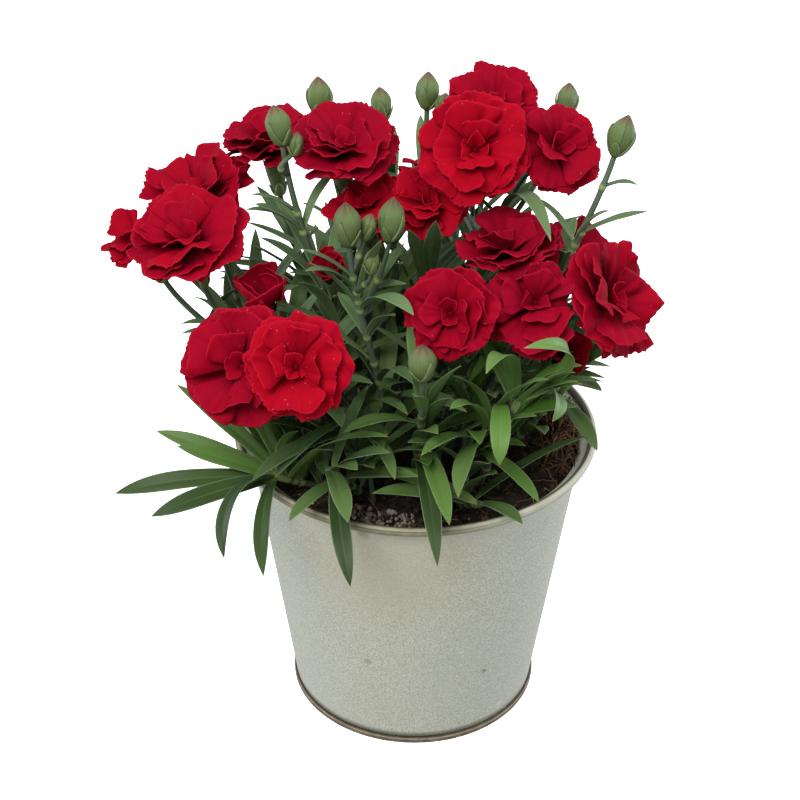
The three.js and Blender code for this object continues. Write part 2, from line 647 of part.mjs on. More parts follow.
function soilBody(stems) {
  const bottom = PLATE + SOIL_CLEARANCE;
  const shrink = SHEET + SOIL_CLEARANCE;
  const low = Math.min(wallRadius(bottom) - shrink, FOOT_RADIUS - RING_LIP - SOIL_CLEARANCE);
  const edge = wallRadius(SOIL_HEIGHT) - shrink;
  const rings = [56, CROWN_RADIUS];
  const profile = [[0, bottom], [low, bottom], [low, WALL_FOOT], [edge, SOIL_HEIGHT]];
  profile.push(...rings.map((r) => [r, SOIL_HEIGHT]), [0, SOIL_HEIGHT]);
  const geometry = revolve(profile, POT_SIDES);
  const spots = geometry.attributes.position;
  for (let i = 0; i < spots.count; i++) {
    const [x, y, z] = [spots.getX(i), spots.getY(i), spots.getZ(i)];
    if (z > SOIL_HEIGHT - 1 && Math.hypot(x, y) < edge - 1) {
      spots.setZ(i, soilHeight(x, y));
    }
  }
  const soil = solidOf(geometry);
  return stems.reduce((body, { paths }) => body.subtract(stemHole(paths[0])), soil);
}

// A plain hole along the first straight of the stem, from just under its foot to over the soil.
function stemHole(path) {
  const { curve, steps } = stemCurve(path);
  const foot = vector(path[0]);
  const way = curve.getPointAt(1 / steps).sub(foot).normalize();
  const length = HOLE_BELOW + ROOT_DEPTH / way.z + HOLE_ABOVE;
  const hole = new THREE.CylinderGeometry(HOLE_RADIUS, HOLE_RADIUS, length, HOLE_SIDES).rotateX(Math.PI / 2);
  const middle = foot.addScaledVector(way, length / 2 - HOLE_BELOW);
  const turn = new THREE.Quaternion().setFromUnitVectors(UP, way);
  return solidOf(hole.applyQuaternion(turn).translate(middle.x, middle.y, middle.z));
}

// ---- the plan of the plant: where every stem, leaf and petal goes -------------------------------------

// The roots start below their flowers, drawn in to the crown, and are pushed apart to ROOT_SPACING.
function plantRoots(stems) {
  const roots = stems.map(({ top, draw }) => [top[0] * draw, top[1] * draw]);
  for (let round = 0; round < 60; round++) {
    for (let i = 0; i < roots.length; i++) {
      for (let j = i + 1; j < roots.length; j++) {
        const dx = roots[j][0] - roots[i][0];
        const dy = roots[j][1] - roots[i][1];
        const distance = Math.hypot(dx, dy);
        if (distance < ROOT_SPACING && distance > 0) {
          const push = (0.5 * (ROOT_SPACING - distance)) / distance;
          roots[i][0] -= dx * push;
          roots[i][1] -= dy * push;
          roots[j][0] += dx * push;
          roots[j][1] += dy * push;
        }
      }
    }
    for (const root of roots) {
      const reach = Math.hypot(root[0], root[1]);
      const shrink = Math.min(1, ROOT_REACH / reach);
      root[0] *= shrink;
      root[1] *= shrink;
    }
  }
  return roots;
}

// Points of a cubic curve, and its direction.
function cubic(p, t) {
  const u = 1 - t;
  const weights = [u * u * u, 3 * u * u * t, 3 * u * t * t, t * t * t];
  return [0, 1, 2].map((c) => weights.reduce((sum, w, i) => sum + w * p[i][c], 0));
}

function pathSamples(path, from) {
  const samples = [];
  for (let i = 0; i <= 60; i++) {
    const t = from + ((1 - from) * i) / 60;
    samples.push([...cubic(path, t), STEM_RADIUS]);
  }
  return samples;
}

// Rings of samples on the side of a round piece: profile gives [height, radius] pairs.
function roundSamples(point, axis, profile) {
  const { level, across } = frameAbout(axis);
  const samples = [];
  for (const [height, radius] of profile) {
    const ring = Math.max(0, radius - ROUND_SAMPLE_RADIUS);
    for (let j = 0; j < 8; j++) {
      const angle = (TAU * j) / 8;
      const spot = point.clone().addScaledVector(axis, height);
      spot.addScaledVector(level, ring * Math.cos(angle)).addScaledVector(across, ring * Math.sin(angle));
      samples.push([spot.x, spot.y, spot.z, ROUND_SAMPLE_RADIUS]);
    }
  }
  return samples;
}

// What each kind of head needs: its foot, where the stem ends in it, and its axis.
function headOf(name) {
  if (name in BLOOMS) {
    const { at, axis } = BLOOMS[name];
    const unit = vector(axis).normalize();
    const mouth = vector(at);
    return { name, axis: unit, mouth, foot: mouth.clone().addScaledVector(unit, -CALYX_LENGTH) };
  }
  const { at, axis, length, width } = BUDS[name];
  const unit = vector(axis).normalize();
  return { name, axis: unit, length, width, foot: vector(at).addScaledVector(unit, -length / 2) };
}

function calyxProfile() {
  const l = CALYX_LENGTH;
  return [[1.5, 1.6], [4, 2.5], [6.5, 3], [9, 3.5], [11.5, 3.9], [l - 1.5, 4.2]];
}

function budProfile({ length, width }) {
  const r = width / 2;
  return [[0.12, 0.6], [0.3, 0.9], [0.48, 1], [0.66, 0.84], [0.82, 0.55], [0.95, 0.3]]
    .map(([h, w]) => [h * length, w * r]);
}

// The petals of a bloom, each bent or shortened until it is clear of the other pieces.
function planBloom(name, index) {
  const { radius, open, petals } = BLOOMS[name];
  const plain = PLAIN_BLOOMS.includes(name);
  const head = headOf(name);
  const bloom = { name, mouth: head.mouth, frame: { axis: head.axis, ...frameAbout(head.axis) }, petals: [] };
  const random = randomFrom(2000 + index);
  const layers = [
    { count: petals[0], from: 0.78, to: 1.66, share: 1, wide: 0.56, root: 0.6, roll: 0.2, cup: 0 },
    { count: petals[1], from: 0.6, to: 1.4, share: 0.93, wide: 0.52, root: 2.4, roll: 0.24, cup: 0.04 },
    { count: petals[2], from: 0.36, to: 1.08, share: 0.68, wide: 0.46, root: 4, roll: 0.3, cup: 0.1 },
  ];
  const reachOf = (from, to) => (Math.cos(from) - Math.cos(to)) / (to - from);
  const outerFrom = layers[0].from * Math.min(1, 0.3 + 0.7 * open);
  const full = (radius - PETAL_ROOT_RADIUS) / reachOf(outerFrom, layers[0].to * open);
  let turn = random() * TAU;
  bloom.turn = turn;
  bloom.sides = petals[0];
  layers.forEach((layer, depth) => {
    for (let i = 0; i < layer.count; i++) {
      const jitter = () => random() - 0.5;
      const from = layer.from * Math.min(1, 0.3 + 0.7 * open) + 0.1 * jitter();
      const to = layer.to * open + 0.22 * jitter();
      const length = full * layer.share * (1 + 0.1 * jitter());
      const azimuth = turn + (TAU * (i + 0.22 * jitter())) / layer.count;
      const wave = 0.1 + 0.08 * random();
      const phase = TAU * random();
      const tries = [];
      for (const size of [1, 0.9, 0.78, 0.62]) {
        for (const bend of [0, -0.18, 0.18, -0.36, -0.55]) {
          tries.push({
            azimuth, from, to: Math.max(from + 0.1, to + bend), length: length * size,
            half: length * size * layer.wide, root: layer.root, roll: layer.roll, cup: layer.cup,
            wave, phase, fine: depth === 0 && !plain, layer: depth,
          });
        }
      }
      const petal = firstClear(tries, (item) => petalSamples(bloom, item), [name, `calyx_${name}`]);
      if (petal) {
        place(petalSamples(bloom, petal), name);
        bloom.petals.push(petal);
      }
    }
    turn += Math.PI / Math.max(1, layer.count) + 0.5;
  });
  return bloom;
}

// A stem's path leaves the soil upright and comes into its head along the head's axis.
function planPath(root, foot, axis, ignored, rise) {
  const distance = Math.hypot(foot.x - root[0], foot.y - root[1], foot.z - root[2]);
  const tries = [];
  for (const aside of [0, 5, 10, 16, 24, 32]) {
    for (let turn = 0; turn < (aside ? 8 : 1); turn++) {
      const dx = aside * Math.cos((TAU * turn) / 8);
      const dy = aside * Math.sin((TAU * turn) / 8);
      tries.push([
        root,
        [root[0] + rise[0] * distance + dx / 3, root[1] + rise[1] * distance + dy / 3,
          root[2] + rise[2] * distance],
        [foot.x - axis.x * 0.3 * distance + dx, foot.y - axis.y * 0.3 * distance + dy,
          foot.z - axis.z * 0.3 * distance],
        foot.clone().addScaledVector(axis, 1).toArray(),
      ]);
    }
  }
  return firstClear(tries, (path) => pathSamples(path, 0.2), ignored) ?? tries[0];
}

function planStem(stem, root) {
  const start = [root[0], root[1], SOIL_HEIGHT - ROOT_DEPTH];
  const heads = (stem.heads ?? []).map(headOf);
  const calyces = heads.map(({ name }) => `calyx_${name}`);
  const ignored = [stem.name, ...calyces];
  const plan = { name: stem.name, root: start, heads, paths: [], leaves: [] };
  if (heads.length) {
    plan.paths.push(planPath(start, heads[0].foot, heads[0].axis, ignored, [0, 0, 0.38]));
  } else {
    const tip = vector(stem.tip);
    const away = tip.clone().sub(vector(start)).normalize();
    plan.paths.push(planPath(start, tip, away, ignored, [0.3 * away.x, 0.3 * away.y, 0.3 * away.z + 0.05]));
  }
  place(pathSamples(plan.paths[0], 0.1), stem.name);
  heads.slice(1).forEach((head, i) => {
    const from = cubic(plan.paths[0], stem.forks[i]);
    const towards = head.foot.clone().sub(vector(from)).normalize();
    const rise = [0.3 * towards.x, 0.3 * towards.y, 0.3 * towards.z];
    const path = planPath(from, head.foot, head.axis, ignored, rise);
    plan.paths.push(path);
    place(pathSamples(path, 0), stem.name);
  });
  plan.ignored = ignored;
  return plan;
}

// A leaf drawn one by one keeps its place as seen from the front: it is first tried nearer and further.
function planDrawnLeaf(plan, [share, tip, bend, width, lean]) {
  const base = cubic(plan.paths[0], share);
  const tries = [];
  for (const size of [1, 0.86, 0.7]) {
    for (const near of [0, 4, -4, 8, -8, 12, -12]) {
      for (const extra of [0, 0.25, -0.25, 0.5]) {
        const end = [tip[0], tip[1] - near, tip[2] - 0.63 * near].map((v, c) => mix(base[c], v, size));
        tries.push({ base, tip: end, bend: bend + extra, power: 1.3, lean, width });
      }
    }
  }
  const leaf = firstClear(tries, leafSamples, plan.ignored);
  if (leaf) {
    place(leafSamples(leaf), plan.name);
    plan.leaves.push(leaf);
  }
}

// Leaf pairs stand opposite, each pair square to the one below: long and drooping low on the plant.
function planPairs(plan, shares, index) {
  const random = randomFrom(3000 + index);
  let turn = random() * TAU;
  for (const share of shares) {
    const base = cubic(plan.paths[0], share);
    const height = THREE.MathUtils.clamp((base[2] - SOIL_HEIGHT) / 110, 0, 1);
    for (const half of [0, Math.PI]) {
      const heading = turn + half + 0.5 * (random() - 0.5);
      const span = mix(62, 30, height) * (0.85 + 0.3 * random());
      const width = mix(7.4, 4.2, height) * (0.9 + 0.2 * random());
      const rise = mix(0.55, 0.75, height) + 0.5 * (random() - 0.5);
      const bend = 0.3 + 0.8 * random();
      const lean = 0.5 * (random() - 0.5);
      const tries = [];
      for (const size of [1, 0.84, 0.68, 0.5]) {
        for (const lift of [0, 0.25, -0.25, 0.5]) {
          for (const aside of [0, 0.25, -0.25, 0.5, -0.5, 0.8, -0.8]) {
            const up = rise + lift;
            const round = heading + aside;
            const reach = [Math.cos(up) * Math.cos(round), Math.cos(up) * Math.sin(round), Math.sin(up)];
            const tip = base.map((v, c) => v + span * size * reach[c]);
            if (Math.hypot(tip[0], tip[1]) < PAIR_REACH + PAIR_SPREAD * Math.max(0, tip[2] - POT_HEIGHT)) {
              tries.push({ base, tip, bend, power: 1.3, lean, width });
            }
          }
        }
      }
      const leaf = firstClear(tries, leafSamples, plan.ignored);
      if (leaf) {
        place(leafSamples(leaf), plan.name);
        plan.leaves.push(leaf);
      }
    }
    turn += Math.PI / 2;
  }
}

function planPlant() {
  for (const stem of FLOWER_STEMS) {
    for (const head of stem.heads.map(headOf)) {
      const profile = head.name in BLOOMS ? calyxProfile() : budProfile(head);
      place(roundSamples(head.foot, head.axis, profile), `calyx_${head.name}`);
    }
  }
  const blooms = Object.keys(BLOOMS).map(planBloom);
  const all = [...FLOWER_STEMS, ...SHOOTS];
  const roots = plantRoots(all.map(({ heads, tip }) => {
    const top = tip ?? headOf(heads[0]).foot.toArray();
    return { top, draw: tip ? 0.55 : 0.42 };
  }));
  const stems = all.map((stem, i) => planStem(stem, roots[i]));
  all.forEach(({ leaves = [] }, i) => leaves.forEach((leaf) => planDrawnLeaf(stems[i], leaf)));
  all.forEach(({ pairs }, i) => planPairs(stems[i], pairs, i));
  return { blooms, stems };
}

// ---- the plant's solids ------------------------------------------------------------------------------

function stemCurve(path) {
  const curve = new THREE.CubicBezierCurve3(...path.map(vector));
  return { curve, steps: Math.max(2, Math.round(curve.getLength() / STEM_STEP)) };
}

function tube(path, radius) {
  const section = new THREE.Shape();
  for (let i = 0; i < STEM_SIDES; i++) {
    const angle = (TAU * i) / STEM_SIDES;
    section[i ? 'lineTo' : 'moveTo'](radius * Math.cos(angle), radius * Math.sin(angle));
  }
  section.closePath();
  const { curve, steps } = stemCurve(path);
  return solidOf(new THREE.ExtrudeGeometry(section, { steps, bevelEnabled: false, extrudePath: curve }));
}

// The point of a tube's centre line that is nearest to a spot beside it.
function nearestInTube(path, spot) {
  const { curve, steps } = stemCurve(path);
  const joints = curve.getSpacedPoints(steps);
  const points = joints.slice(1).map((end, i) => (
    new THREE.Line3(joints[i], end).closestPointToPoint(spot, true, new THREE.Vector3())
  ));
  return points.reduce((best, point) => (point.distanceTo(spot) < best.distanceTo(spot) ? point : best));
}

function calyxSolid({ foot, axis }) {
  const l = CALYX_LENGTH;
  const profile = [[0, 0], [CALYX_FOOT_RADIUS, 0], [CALYX_RADIUS, l], [0, l - CALYX_DISH]];
  return solidOf(revolveAbout(foot, axis, profile, ROUND_SIDES));
}

function budSolid({ foot, axis, length, width }) {
  const r = width / 2;
  const shares = [[0, 0], [0.55, 0], [1, 0.42], [0.68, 0.76], [0, 1]];
  const profile = shares.map(([w, h]) => [w * r, h * length]);
  return solidOf(revolveAbout(foot, axis, profile, ROUND_SIDES));
}

function stemSolid({ paths, heads, leaves }) {
  const [main, ...branches] = paths;
  const solids = [tube(main, STEM_RADIUS)];
  for (const [start, ...rest] of branches) {
    solids.push(tube([nearestInTube(main, vector(start)).toArray(), ...rest], BRANCH_RADIUS));
  }
  for (const head of heads) {
    solids.push(head.name in BLOOMS ? calyxSolid(head) : budSolid(head));
  }
  for (const leaf of leaves) {
    solids.push(leafSolid(leaf, nearestInTube(main, vector(leaf.base))));
  }
  return fuse(solids);
}

// The petals spring from a spindle with one face below each outer petal, seated in the mouth of the calyx.
function bloomSolid(bloom) {
  const { axis, level, across } = bloom.frame;
  const seat = GAP + 0.05 - CALYX_DISH;
  const waist = seat + (CALYX_DISH * SPINDLE_RADIUS) / CALYX_RADIUS;
  const profile = [[0, seat], [SPINDLE_RADIUS, waist], [0, SPINDLE_HEIGHT]];
  const spindle = revolve(profile, bloom.sides).rotateZ(bloom.turn + Math.PI / 2 + Math.PI / bloom.sides);
  spindle.applyMatrix4(new THREE.Matrix4().makeBasis(level, across, axis).setPosition(bloom.mouth));
  return fuse([solidOf(spindle), ...bloom.petals.map((petal) => petalSolid(bloom, petal))]);
}

// ---- assembly ----------------------------------------------------------------------------------------

const { blooms, stems } = planPlant();
const plantInPot = new THREE.Group();

function addNode(name, solid, material) {
  const mesh = new THREE.Mesh(geometryOf(solid), material);
  mesh.name = name;
  plantInPot.add(mesh);
}

addNode('pot_wall', potWall(), METAL_PAINT);
addNode('pot_base', potBase(), SEAM_PAINT);
addNode('soil', soilBody(stems), PEAT);
for (const stem of stems) {
  addNode(stem.name, stemSolid(stem), stem.heads.length ? STEM_GREEN : SHOOT_GREEN);
}
for (const bloom of blooms) {
  addNode(bloom.name, bloomSolid(bloom), PETAL_RED);
}

export default plantInPot;
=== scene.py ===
from itertools import product
from math import asin, atan2, ceil, cos, hypot, pi, radians, sin, sqrt

import bpy
import numpy as np
from mathutils import Matrix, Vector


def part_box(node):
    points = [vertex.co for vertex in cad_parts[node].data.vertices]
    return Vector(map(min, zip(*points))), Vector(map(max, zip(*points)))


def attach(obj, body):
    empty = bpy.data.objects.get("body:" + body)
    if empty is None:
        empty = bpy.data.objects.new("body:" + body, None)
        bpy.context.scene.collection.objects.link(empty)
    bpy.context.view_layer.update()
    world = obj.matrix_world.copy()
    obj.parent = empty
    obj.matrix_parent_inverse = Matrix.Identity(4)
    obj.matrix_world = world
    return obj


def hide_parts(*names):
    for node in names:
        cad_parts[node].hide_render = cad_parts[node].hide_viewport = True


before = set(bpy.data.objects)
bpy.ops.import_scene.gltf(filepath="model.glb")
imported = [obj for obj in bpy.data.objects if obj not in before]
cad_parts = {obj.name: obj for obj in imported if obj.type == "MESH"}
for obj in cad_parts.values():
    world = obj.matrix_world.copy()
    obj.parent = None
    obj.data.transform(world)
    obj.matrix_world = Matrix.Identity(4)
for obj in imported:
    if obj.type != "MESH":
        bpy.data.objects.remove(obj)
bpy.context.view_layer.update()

# ---- sizes ------------------------------------------------------------------------------------------------
# The plant's plan is in millimetres, with the values of the part's own source, because the same rule places
# the same leaves and petals there. A mesh is made in metres, by the factor MM.

MM = 0.001
TAU = 2 * pi
UP = np.array([0.0, 0.0, 1.0])

# The pot: its rim and foot outside, its sheet, and the bead and flare above the straight wall's head.
POT_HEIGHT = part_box("pot_wall")[1].z / MM
RIM_RADIUS = 70
FOOT_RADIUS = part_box("pot_base")[1].x / MM
SHEET = 1
BEAD_RADIUS = 1.65
HEAD_RADIUS = 64.5
FLARE = 1.4
RING_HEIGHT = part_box("pot_base")[1].z / MM
WALL_INSET = 1
GAP = 0.3
WALL_FOOT = RING_HEIGHT + GAP
WALL_HEAD = POT_HEIGHT - 2 * BEAD_RADIUS - FLARE
BEAD_CENTRE = RIM_RADIUS - BEAD_RADIUS

# The soil is level inside the crown, where the stems stand, and in low mounds outside it.
SOIL_HEIGHT = 111
SOIL_RELIEF = 1.2
CROWN_RADIUS = 43
CROWN_EDGE = 8

STEM_RADIUS = 1.45
BRANCH_RADIUS = 1.1
ROOT_DEPTH = 7.7
ROOT_SPACING = 8.5
ROOT_REACH = 52
SPACING_ROUNDS = 60
PATH_STEPS = 60
LEAF_STEPS = 24
LEAF_POWER = 1.3
CALYX_LENGTH = 16
CALYX_RADIUS = 4.2
PETAL_ROOT_RADIUS = 0.6

# Leaf pairs: span, width and rise low on the plant and at its top, and how far out their tips may reach at
# the rim and per millimetre above it.
PAIR_SPAN = (62, 30)
PAIR_WIDTH = (7.4, 4.2)
PAIR_RISE = (0.55, 0.75)
PAIR_CLIMB = 110
PAIR_REACH = 68
PAIR_SPREAD = 0.25

# A point that is moved nearer and down by this slope keeps its place as seen from the front.
VIEW_SLOPE = 0.63

# Seeds of the plan's draws, to which a piece's number is added.
PETAL_SEED = 2000
PAIR_SEED = 3000

# The gap kept between pieces, and the spacing and radii of the samples that measure it.
CLEAR = 0.45
CELL = 4
SAMPLE_STEP = 2.2
SAMPLE_RADIUS = 1.15
ROUND_SAMPLE_RADIUS = 1.5

# ---- the flower heads and stems ---------------------------------------------------------------------------


def table(columns, **rows):
    """One dictionary per row, which gives each of its values the name of the value's column."""
    return {name: dict(zip(columns.split(), row)) for name, row in rows.items()}


# at: middle of the calyx mouth; axis: where the bloom faces; radius: reach of the outer petals; opening: 1
# for a flat bloom; petals: how many outer, middle and inner ones.
BLOOMS = table(
    "at axis radius opening petals",
    bloom_01=((-54, 28, 219), (-0.12, -0.1, 0.98), 17, 0.78, (5, 3, 2)),
    bloom_02=((-26.5, 6, 228), (0.05, -0.3, 0.95), 19, 0.95, (5, 4, 2)),
    bloom_03=((-78, 8, 207), (-0.25, -0.1, 0.96), 22, 0.9, (5, 3, 2)),
    bloom_04=((-78.5, -26, 207), (-0.15, -0.28, 0.95), 21.5, 0.97, (5, 4, 2)),
    bloom_05=((-53, -34, 191), (-0.1, -0.3, 0.95), 7, 0.28, (4, 0, 2)),
    bloom_06=((-57.5, -56, 178), (-0.25, -0.75, 0.6), 22, 1, (5, 4, 2)),
    bloom_07=((-39, -79, 192.5), (0, -0.82, 0.56), 17.5, 1, (5, 4, 2)),
    bloom_08=((27, 38, 231), (0.02, -0.3, 0.95), 18.5, 0.9, (5, 3, 2)),
    bloom_09=((20, 2, 233), (0, -0.78, 0.62), 20, 1, (5, 3, 2)),
    bloom_10=((47, 6, 231), (0.35, -0.65, 0.66), 17.5, 1, (5, 3, 2)),
    bloom_11=((-18, 0, 209), (-0.05, -0.4, 0.92), 15.5, 0.9, (5, 3, 1)),
    bloom_12=((4, -4, 213), (0, -0.5, 0.86), 15, 0.9, (5, 3, 2)),
    bloom_13=((-31, -14, 193), (-0.15, -0.5, 0.85), 5.8, 0.4, (4, 0, 2)),
    bloom_14=((33, -20, 200), (-0.1, 0, 1), 19.5, 0.93, (5, 3, 2)),
    bloom_15=((55.5, 12, 181.5), (0.1, -0.15, 0.97), 17, 0.9, (5, 3, 1)),
    bloom_16=((63, -26, 188), (0.75, -0.42, 0.5), 22, 1, (5, 4, 2)),
    bloom_17=((13.5, -47, 195), (-0.35, -0.78, 0.52), 16.5, 1, (5, 4, 2)),
    bloom_18=((40, -38, 192.5), (0.1, -0.65, 0.75), 19.5, 1, (5, 3, 2)),
    bloom_19=((52, -30, 169), (0.3, -0.6, 0.74), 7.4, 0.45, (4, 0, 2)),
    bloom_20=((8, 72, 186), (-0.05, 0.55, 0.84), 17, 0.95, (5, 3, 1)),
    bloom_21=((-98.5, -6, 198), (-0.35, -0.2, 0.91), 13.5, 0.85, (5, 3, 1)),
)

# at: middle of the bud; axis: where its tip points.
BUDS = table(
    "at axis length width",
    bud_01=((-36, 22, 246), (-0.05, 0, 1), 15, 9.4),
    bud_02=((-49, -4, 246), (-0.2, 0, 0.98), 15, 9.4),
    bud_03=((-43, -4, 239), (0.15, 0, 0.99), 9, 5.4),
    bud_04=((-14, 34, 238), (-0.1, 0.1, 0.99), 13, 8),
    bud_05=((3, 14, 252), (0.02, 0, 1), 14, 9),
    bud_06=((8.5, 11, 248), (0.25, -0.1, 0.96), 9, 5.4),
    bud_07=((54, 30, 242), (0.1, 0.1, 0.99), 13, 8),
    bud_08=((70, -10, 246), (0.25, 0, 0.97), 15.5, 9.6),
    bud_09=((-24, -36, 224), (-0.05, -0.1, 0.99), 17, 10),
    bud_10=((-17, -32, 221), (0.25, 0, 0.97), 10, 6),
    bud_11=((-15.5, -42, 213), (0, -0.15, 0.99), 10, 5.6),
    bud_12=((-9, -30, 223), (0.08, -0.05, 0.99), 17, 9.6),
    bud_13=((2, -62, 185), (-0.02, -0.05, 1), 14, 10.4),
    bud_14=((38, 62, 196), (0.2, 0.25, 0.95), 14, 9),
)

# heads: the blooms or buds on a stem, the first at its end, the others on side shoots that leave it at the
# shares in forks. pairs: the shares at which leaf pairs stand. leaves: drawn leaves, (share, tip, bend,
# width, lean). A share runs from 0 at the stem's foot to 1 at its head.
FLOWER_STEMS = [
    dict(name="stem_01", heads=["bloom_01"], pairs=[0.25, 0.5]),
    dict(name="stem_02", heads=["bloom_02"], pairs=[0.3, 0.6]),
    dict(name="stem_03", heads=["bloom_04", "bloom_03"], forks=[0.6], pairs=[0.25, 0.45], leaves=[
        (0.68, (-87, -12, 166), 0.7, 4.6, 0), (0.74, (-85, -22, 176), 0.6, 4.2, 0),
    ]),
    dict(name="stem_04", heads=["bloom_05"], pairs=[0.3, 0.6]),
    dict(name="stem_05", heads=["bloom_06", "bloom_07"], forks=[0.5], pairs=[0.2]),
    dict(name="stem_06", heads=["bloom_08", "bloom_09"], forks=[0.62], pairs=[0.3, 0.5]),
    dict(name="stem_07", heads=["bloom_10", "bud_07"], forks=[0.6], pairs=[0.25, 0.5], leaves=[
        (0.7, (45, -42, 221), 0.9, 6.2, 0),
    ]),
    dict(name="stem_08", heads=["bloom_11", "bloom_13"], forks=[0.45], pairs=[0.62]),
    dict(name="stem_09", heads=["bloom_12"], pairs=[0.3], leaves=[
        (0.7, (6, -34, 229), 0.25, 6.4, 0), (0.66, (-3, -35, 226), 0.5, 5.4, 0),
    ]),
    dict(name="stem_10", heads=["bloom_14"], pairs=[0.3]),
    dict(name="stem_11", heads=["bloom_16", "bloom_15"], forks=[0.5], pairs=[0.25, 0.7]),
    dict(name="stem_12", heads=["bloom_17"], pairs=[0.5]),
    dict(name="stem_13", heads=["bloom_18", "bloom_19"], forks=[0.53], pairs=[0.27], leaves=[
        (0.55, (72, -14, 155), 0.7, 5.2, 0), (0.47, (70, -10, 146), 0.6, 5, 0),
    ]),
    dict(name="stem_14", heads=["bud_02", "bud_03"], forks=[0.9], pairs=[0.35], leaves=[
        (0.72, (-61, -10, 216), 0.9, 4.4, 0), (0.78, (-59, -8, 221), 0.7, 3.8, 0),
    ]),
    dict(name="stem_15", heads=["bud_01"], pairs=[0.35]),
    dict(name="stem_16", heads=["bud_04"], pairs=[0.35, 0.7]),
    dict(name="stem_17", heads=["bud_05", "bud_06"], forks=[0.92], pairs=[0.4, 0.75]),
    dict(name="stem_18", heads=["bud_08"], pairs=[0.35], leaves=[
        (0.9, (76, -16, 230), 0.8, 3.6, 0), (0.76, (84, 8, 208), 0.3, 3.8, 0),
        (0.7, (44, -2, 200), 0.6, 4, 0),
    ]),
    dict(
        name="stem_19", heads=["bud_09", "bud_10", "bud_11", "bud_12"], forks=[0.88, 0.8, 0.68], pairs=[0.3],
        leaves=[
            (0.8, (-38, -46, 211), 0.9, 6, 0), (0.86, (-39, -38, 215), 0.4, 4.4, 0),
            (0.72, (-1, -58, 201), 0.9, 6.6, 0), (0.76, (-12, -52, 226), 0.3, 4.4, 0),
        ],
    ),
    dict(name="stem_20", heads=["bud_13"], pairs=[], leaves=[
        (0.62, (-25, -68, 160), 0.9, 6.4, 0), (0.64, (15, -64, 190), 0.4, 6.8, 0),
        (0.42, (12, -84, 133), 0.7, 7.4, 0), (0.3, (8, -93, 122), 0.9, 7, 0),
        (0.26, (18, -48, 158), 0.3, 6.8, 0),
    ]),
    dict(name="stem_21", heads=["bloom_20", "bud_14"], forks=[0.6], pairs=[0.5]),
    dict(name="stem_22", heads=["bloom_21"], pairs=[0.25, 0.55]),
]

# Leafy shoots have no flower. tip: the end of the shoot's own stem.
SHOOTS = [
    dict(name="shoot_01", tip=(-51, -44, 125), pairs=[], leaves=[
        (0.9, (-109, -52, 122), 0.7, 7.8, -0.5), (0.94, (-94, -66, 122), 0.55, 7.8, -0.5),
        (0.8, (-95, -36, 139), 0.35, 7.2, -0.6), (0.86, (-86, -46, 139), 0.3, 7, -0.6),
        (0.84, (-87, -31, 156), 0.3, 7.4, -0.3), (0.97, (-66, -86, 119), 1.7, 7.2, 0.5),
        (0.97, (-52, -92, 116), 0.8, 6.6, 0.4), (0.9, (-42, -46, 146), 1.2, 6.6, -0.5),
        (0.7, (-70, -22, 143), 0.4, 6.4, 0),
    ]),
    dict(name="shoot_02", tip=(-31, -50, 132), pairs=[], leaves=[
        (0.8, (-22, -92, 112), 1.2, 7.4, 0.2), (0.63, (-44, -76, 128), 0.6, 6.4, 0),
        (0.9, (-17, -40, 162), 0.3, 6.4, 0), (0.97, (-23, -82, 132), 0.9, 7.4, 0),
        (0.85, (-20, -70, 146), 0.7, 6.8, 0.2),
    ]),
    dict(name="shoot_03", tip=(-26, -38, 150), pairs=[0.35], leaves=[
        (0.82, (-7, -70, 142), 0.9, 6.6, -0.3), (0.86, (-50, -58, 134), 0.7, 7.6, 0.2),
        (0.7, (-58, -54, 140), 0.8, 7, 0),
    ]),
    dict(name="shoot_04", tip=(30, -46, 158), pairs=[], leaves=[
        (0.6, (15, -76, 139), 0.9, 7.4, 0.3), (0.56, (2, -74, 155), 0.8, 6.8, 0),
        (0.5, (44, -66, 130), 0.7, 6.6, 0), (0.78, (13, -56, 176), 0.7, 6.8, 0),
        (0.98, (29, -72, 150), 2, 7.4, 0),
    ]),
    dict(name="shoot_05", tip=(36, -46, 160), pairs=[0.4], leaves=[
        (0.95, (47, -64, 163), 2.8, 7.8, -0.9), (0.92, (51, -60, 181), 0.3, 7.2, 0),
        (0.98, (35, -74, 203), 1.8, 7, -1.2), (0.9, (23, -74, 193), 1.7, 7.4, 0),
        (0.8, (58, -34, 150), 0.6, 6.8, 0),
    ]),
    dict(name="shoot_06", tip=(24, -56, 122), pairs=[0.9], leaves=[
        (0.8, (38, -72, 125), 0.8, 6.6, 0),
    ]),
    dict(name="shoot_07", tip=(58, -2, 140), pairs=[0.6, 0.95], leaves=[
        (0.8, (66, -42, 136), 0.5, 7, 0),
    ]),
    dict(name="shoot_08", tip=(44, 40, 142), pairs=[0.6, 0.97]),
    dict(name="shoot_09", tip=(6, 56, 138), pairs=[0.6, 0.97]),
    dict(name="shoot_10", tip=(-36, 44, 142), pairs=[0.6, 0.97]),
    dict(name="shoot_11", tip=(-58, 10, 138), pairs=[0.75, 0.97]),
]

# ---- the plan: where every stem, leaf and petal goes ------------------------------------------------------


def unit(v):
    """A vector's direction: the vector over its own length."""
    v = np.asarray(v, float)
    return v / np.linalg.norm(v)


def mix(a, b, t):
    """The value t of the way from a to b."""
    return a + (b - a) * t


def draws_from(seed):
    """Even draws from 0 to 1, the same for the same seed (mulberry32)."""
    word = 0xFFFFFFFF

    def draw():
        """The next draw: the state goes on by a fixed step, and shifts and products scramble it."""
        draw.state = (draw.state + 0x6D2B79F5) & word
        t = draw.state
        t = ((t ^ (t >> 15)) * (t | 1)) & word
        t ^= (t + (((t ^ (t >> 7)) * (t | 61)) & word)) & word
        return ((t ^ (t >> 14)) & word) / 4294967296

    draw.state = seed
    return draw


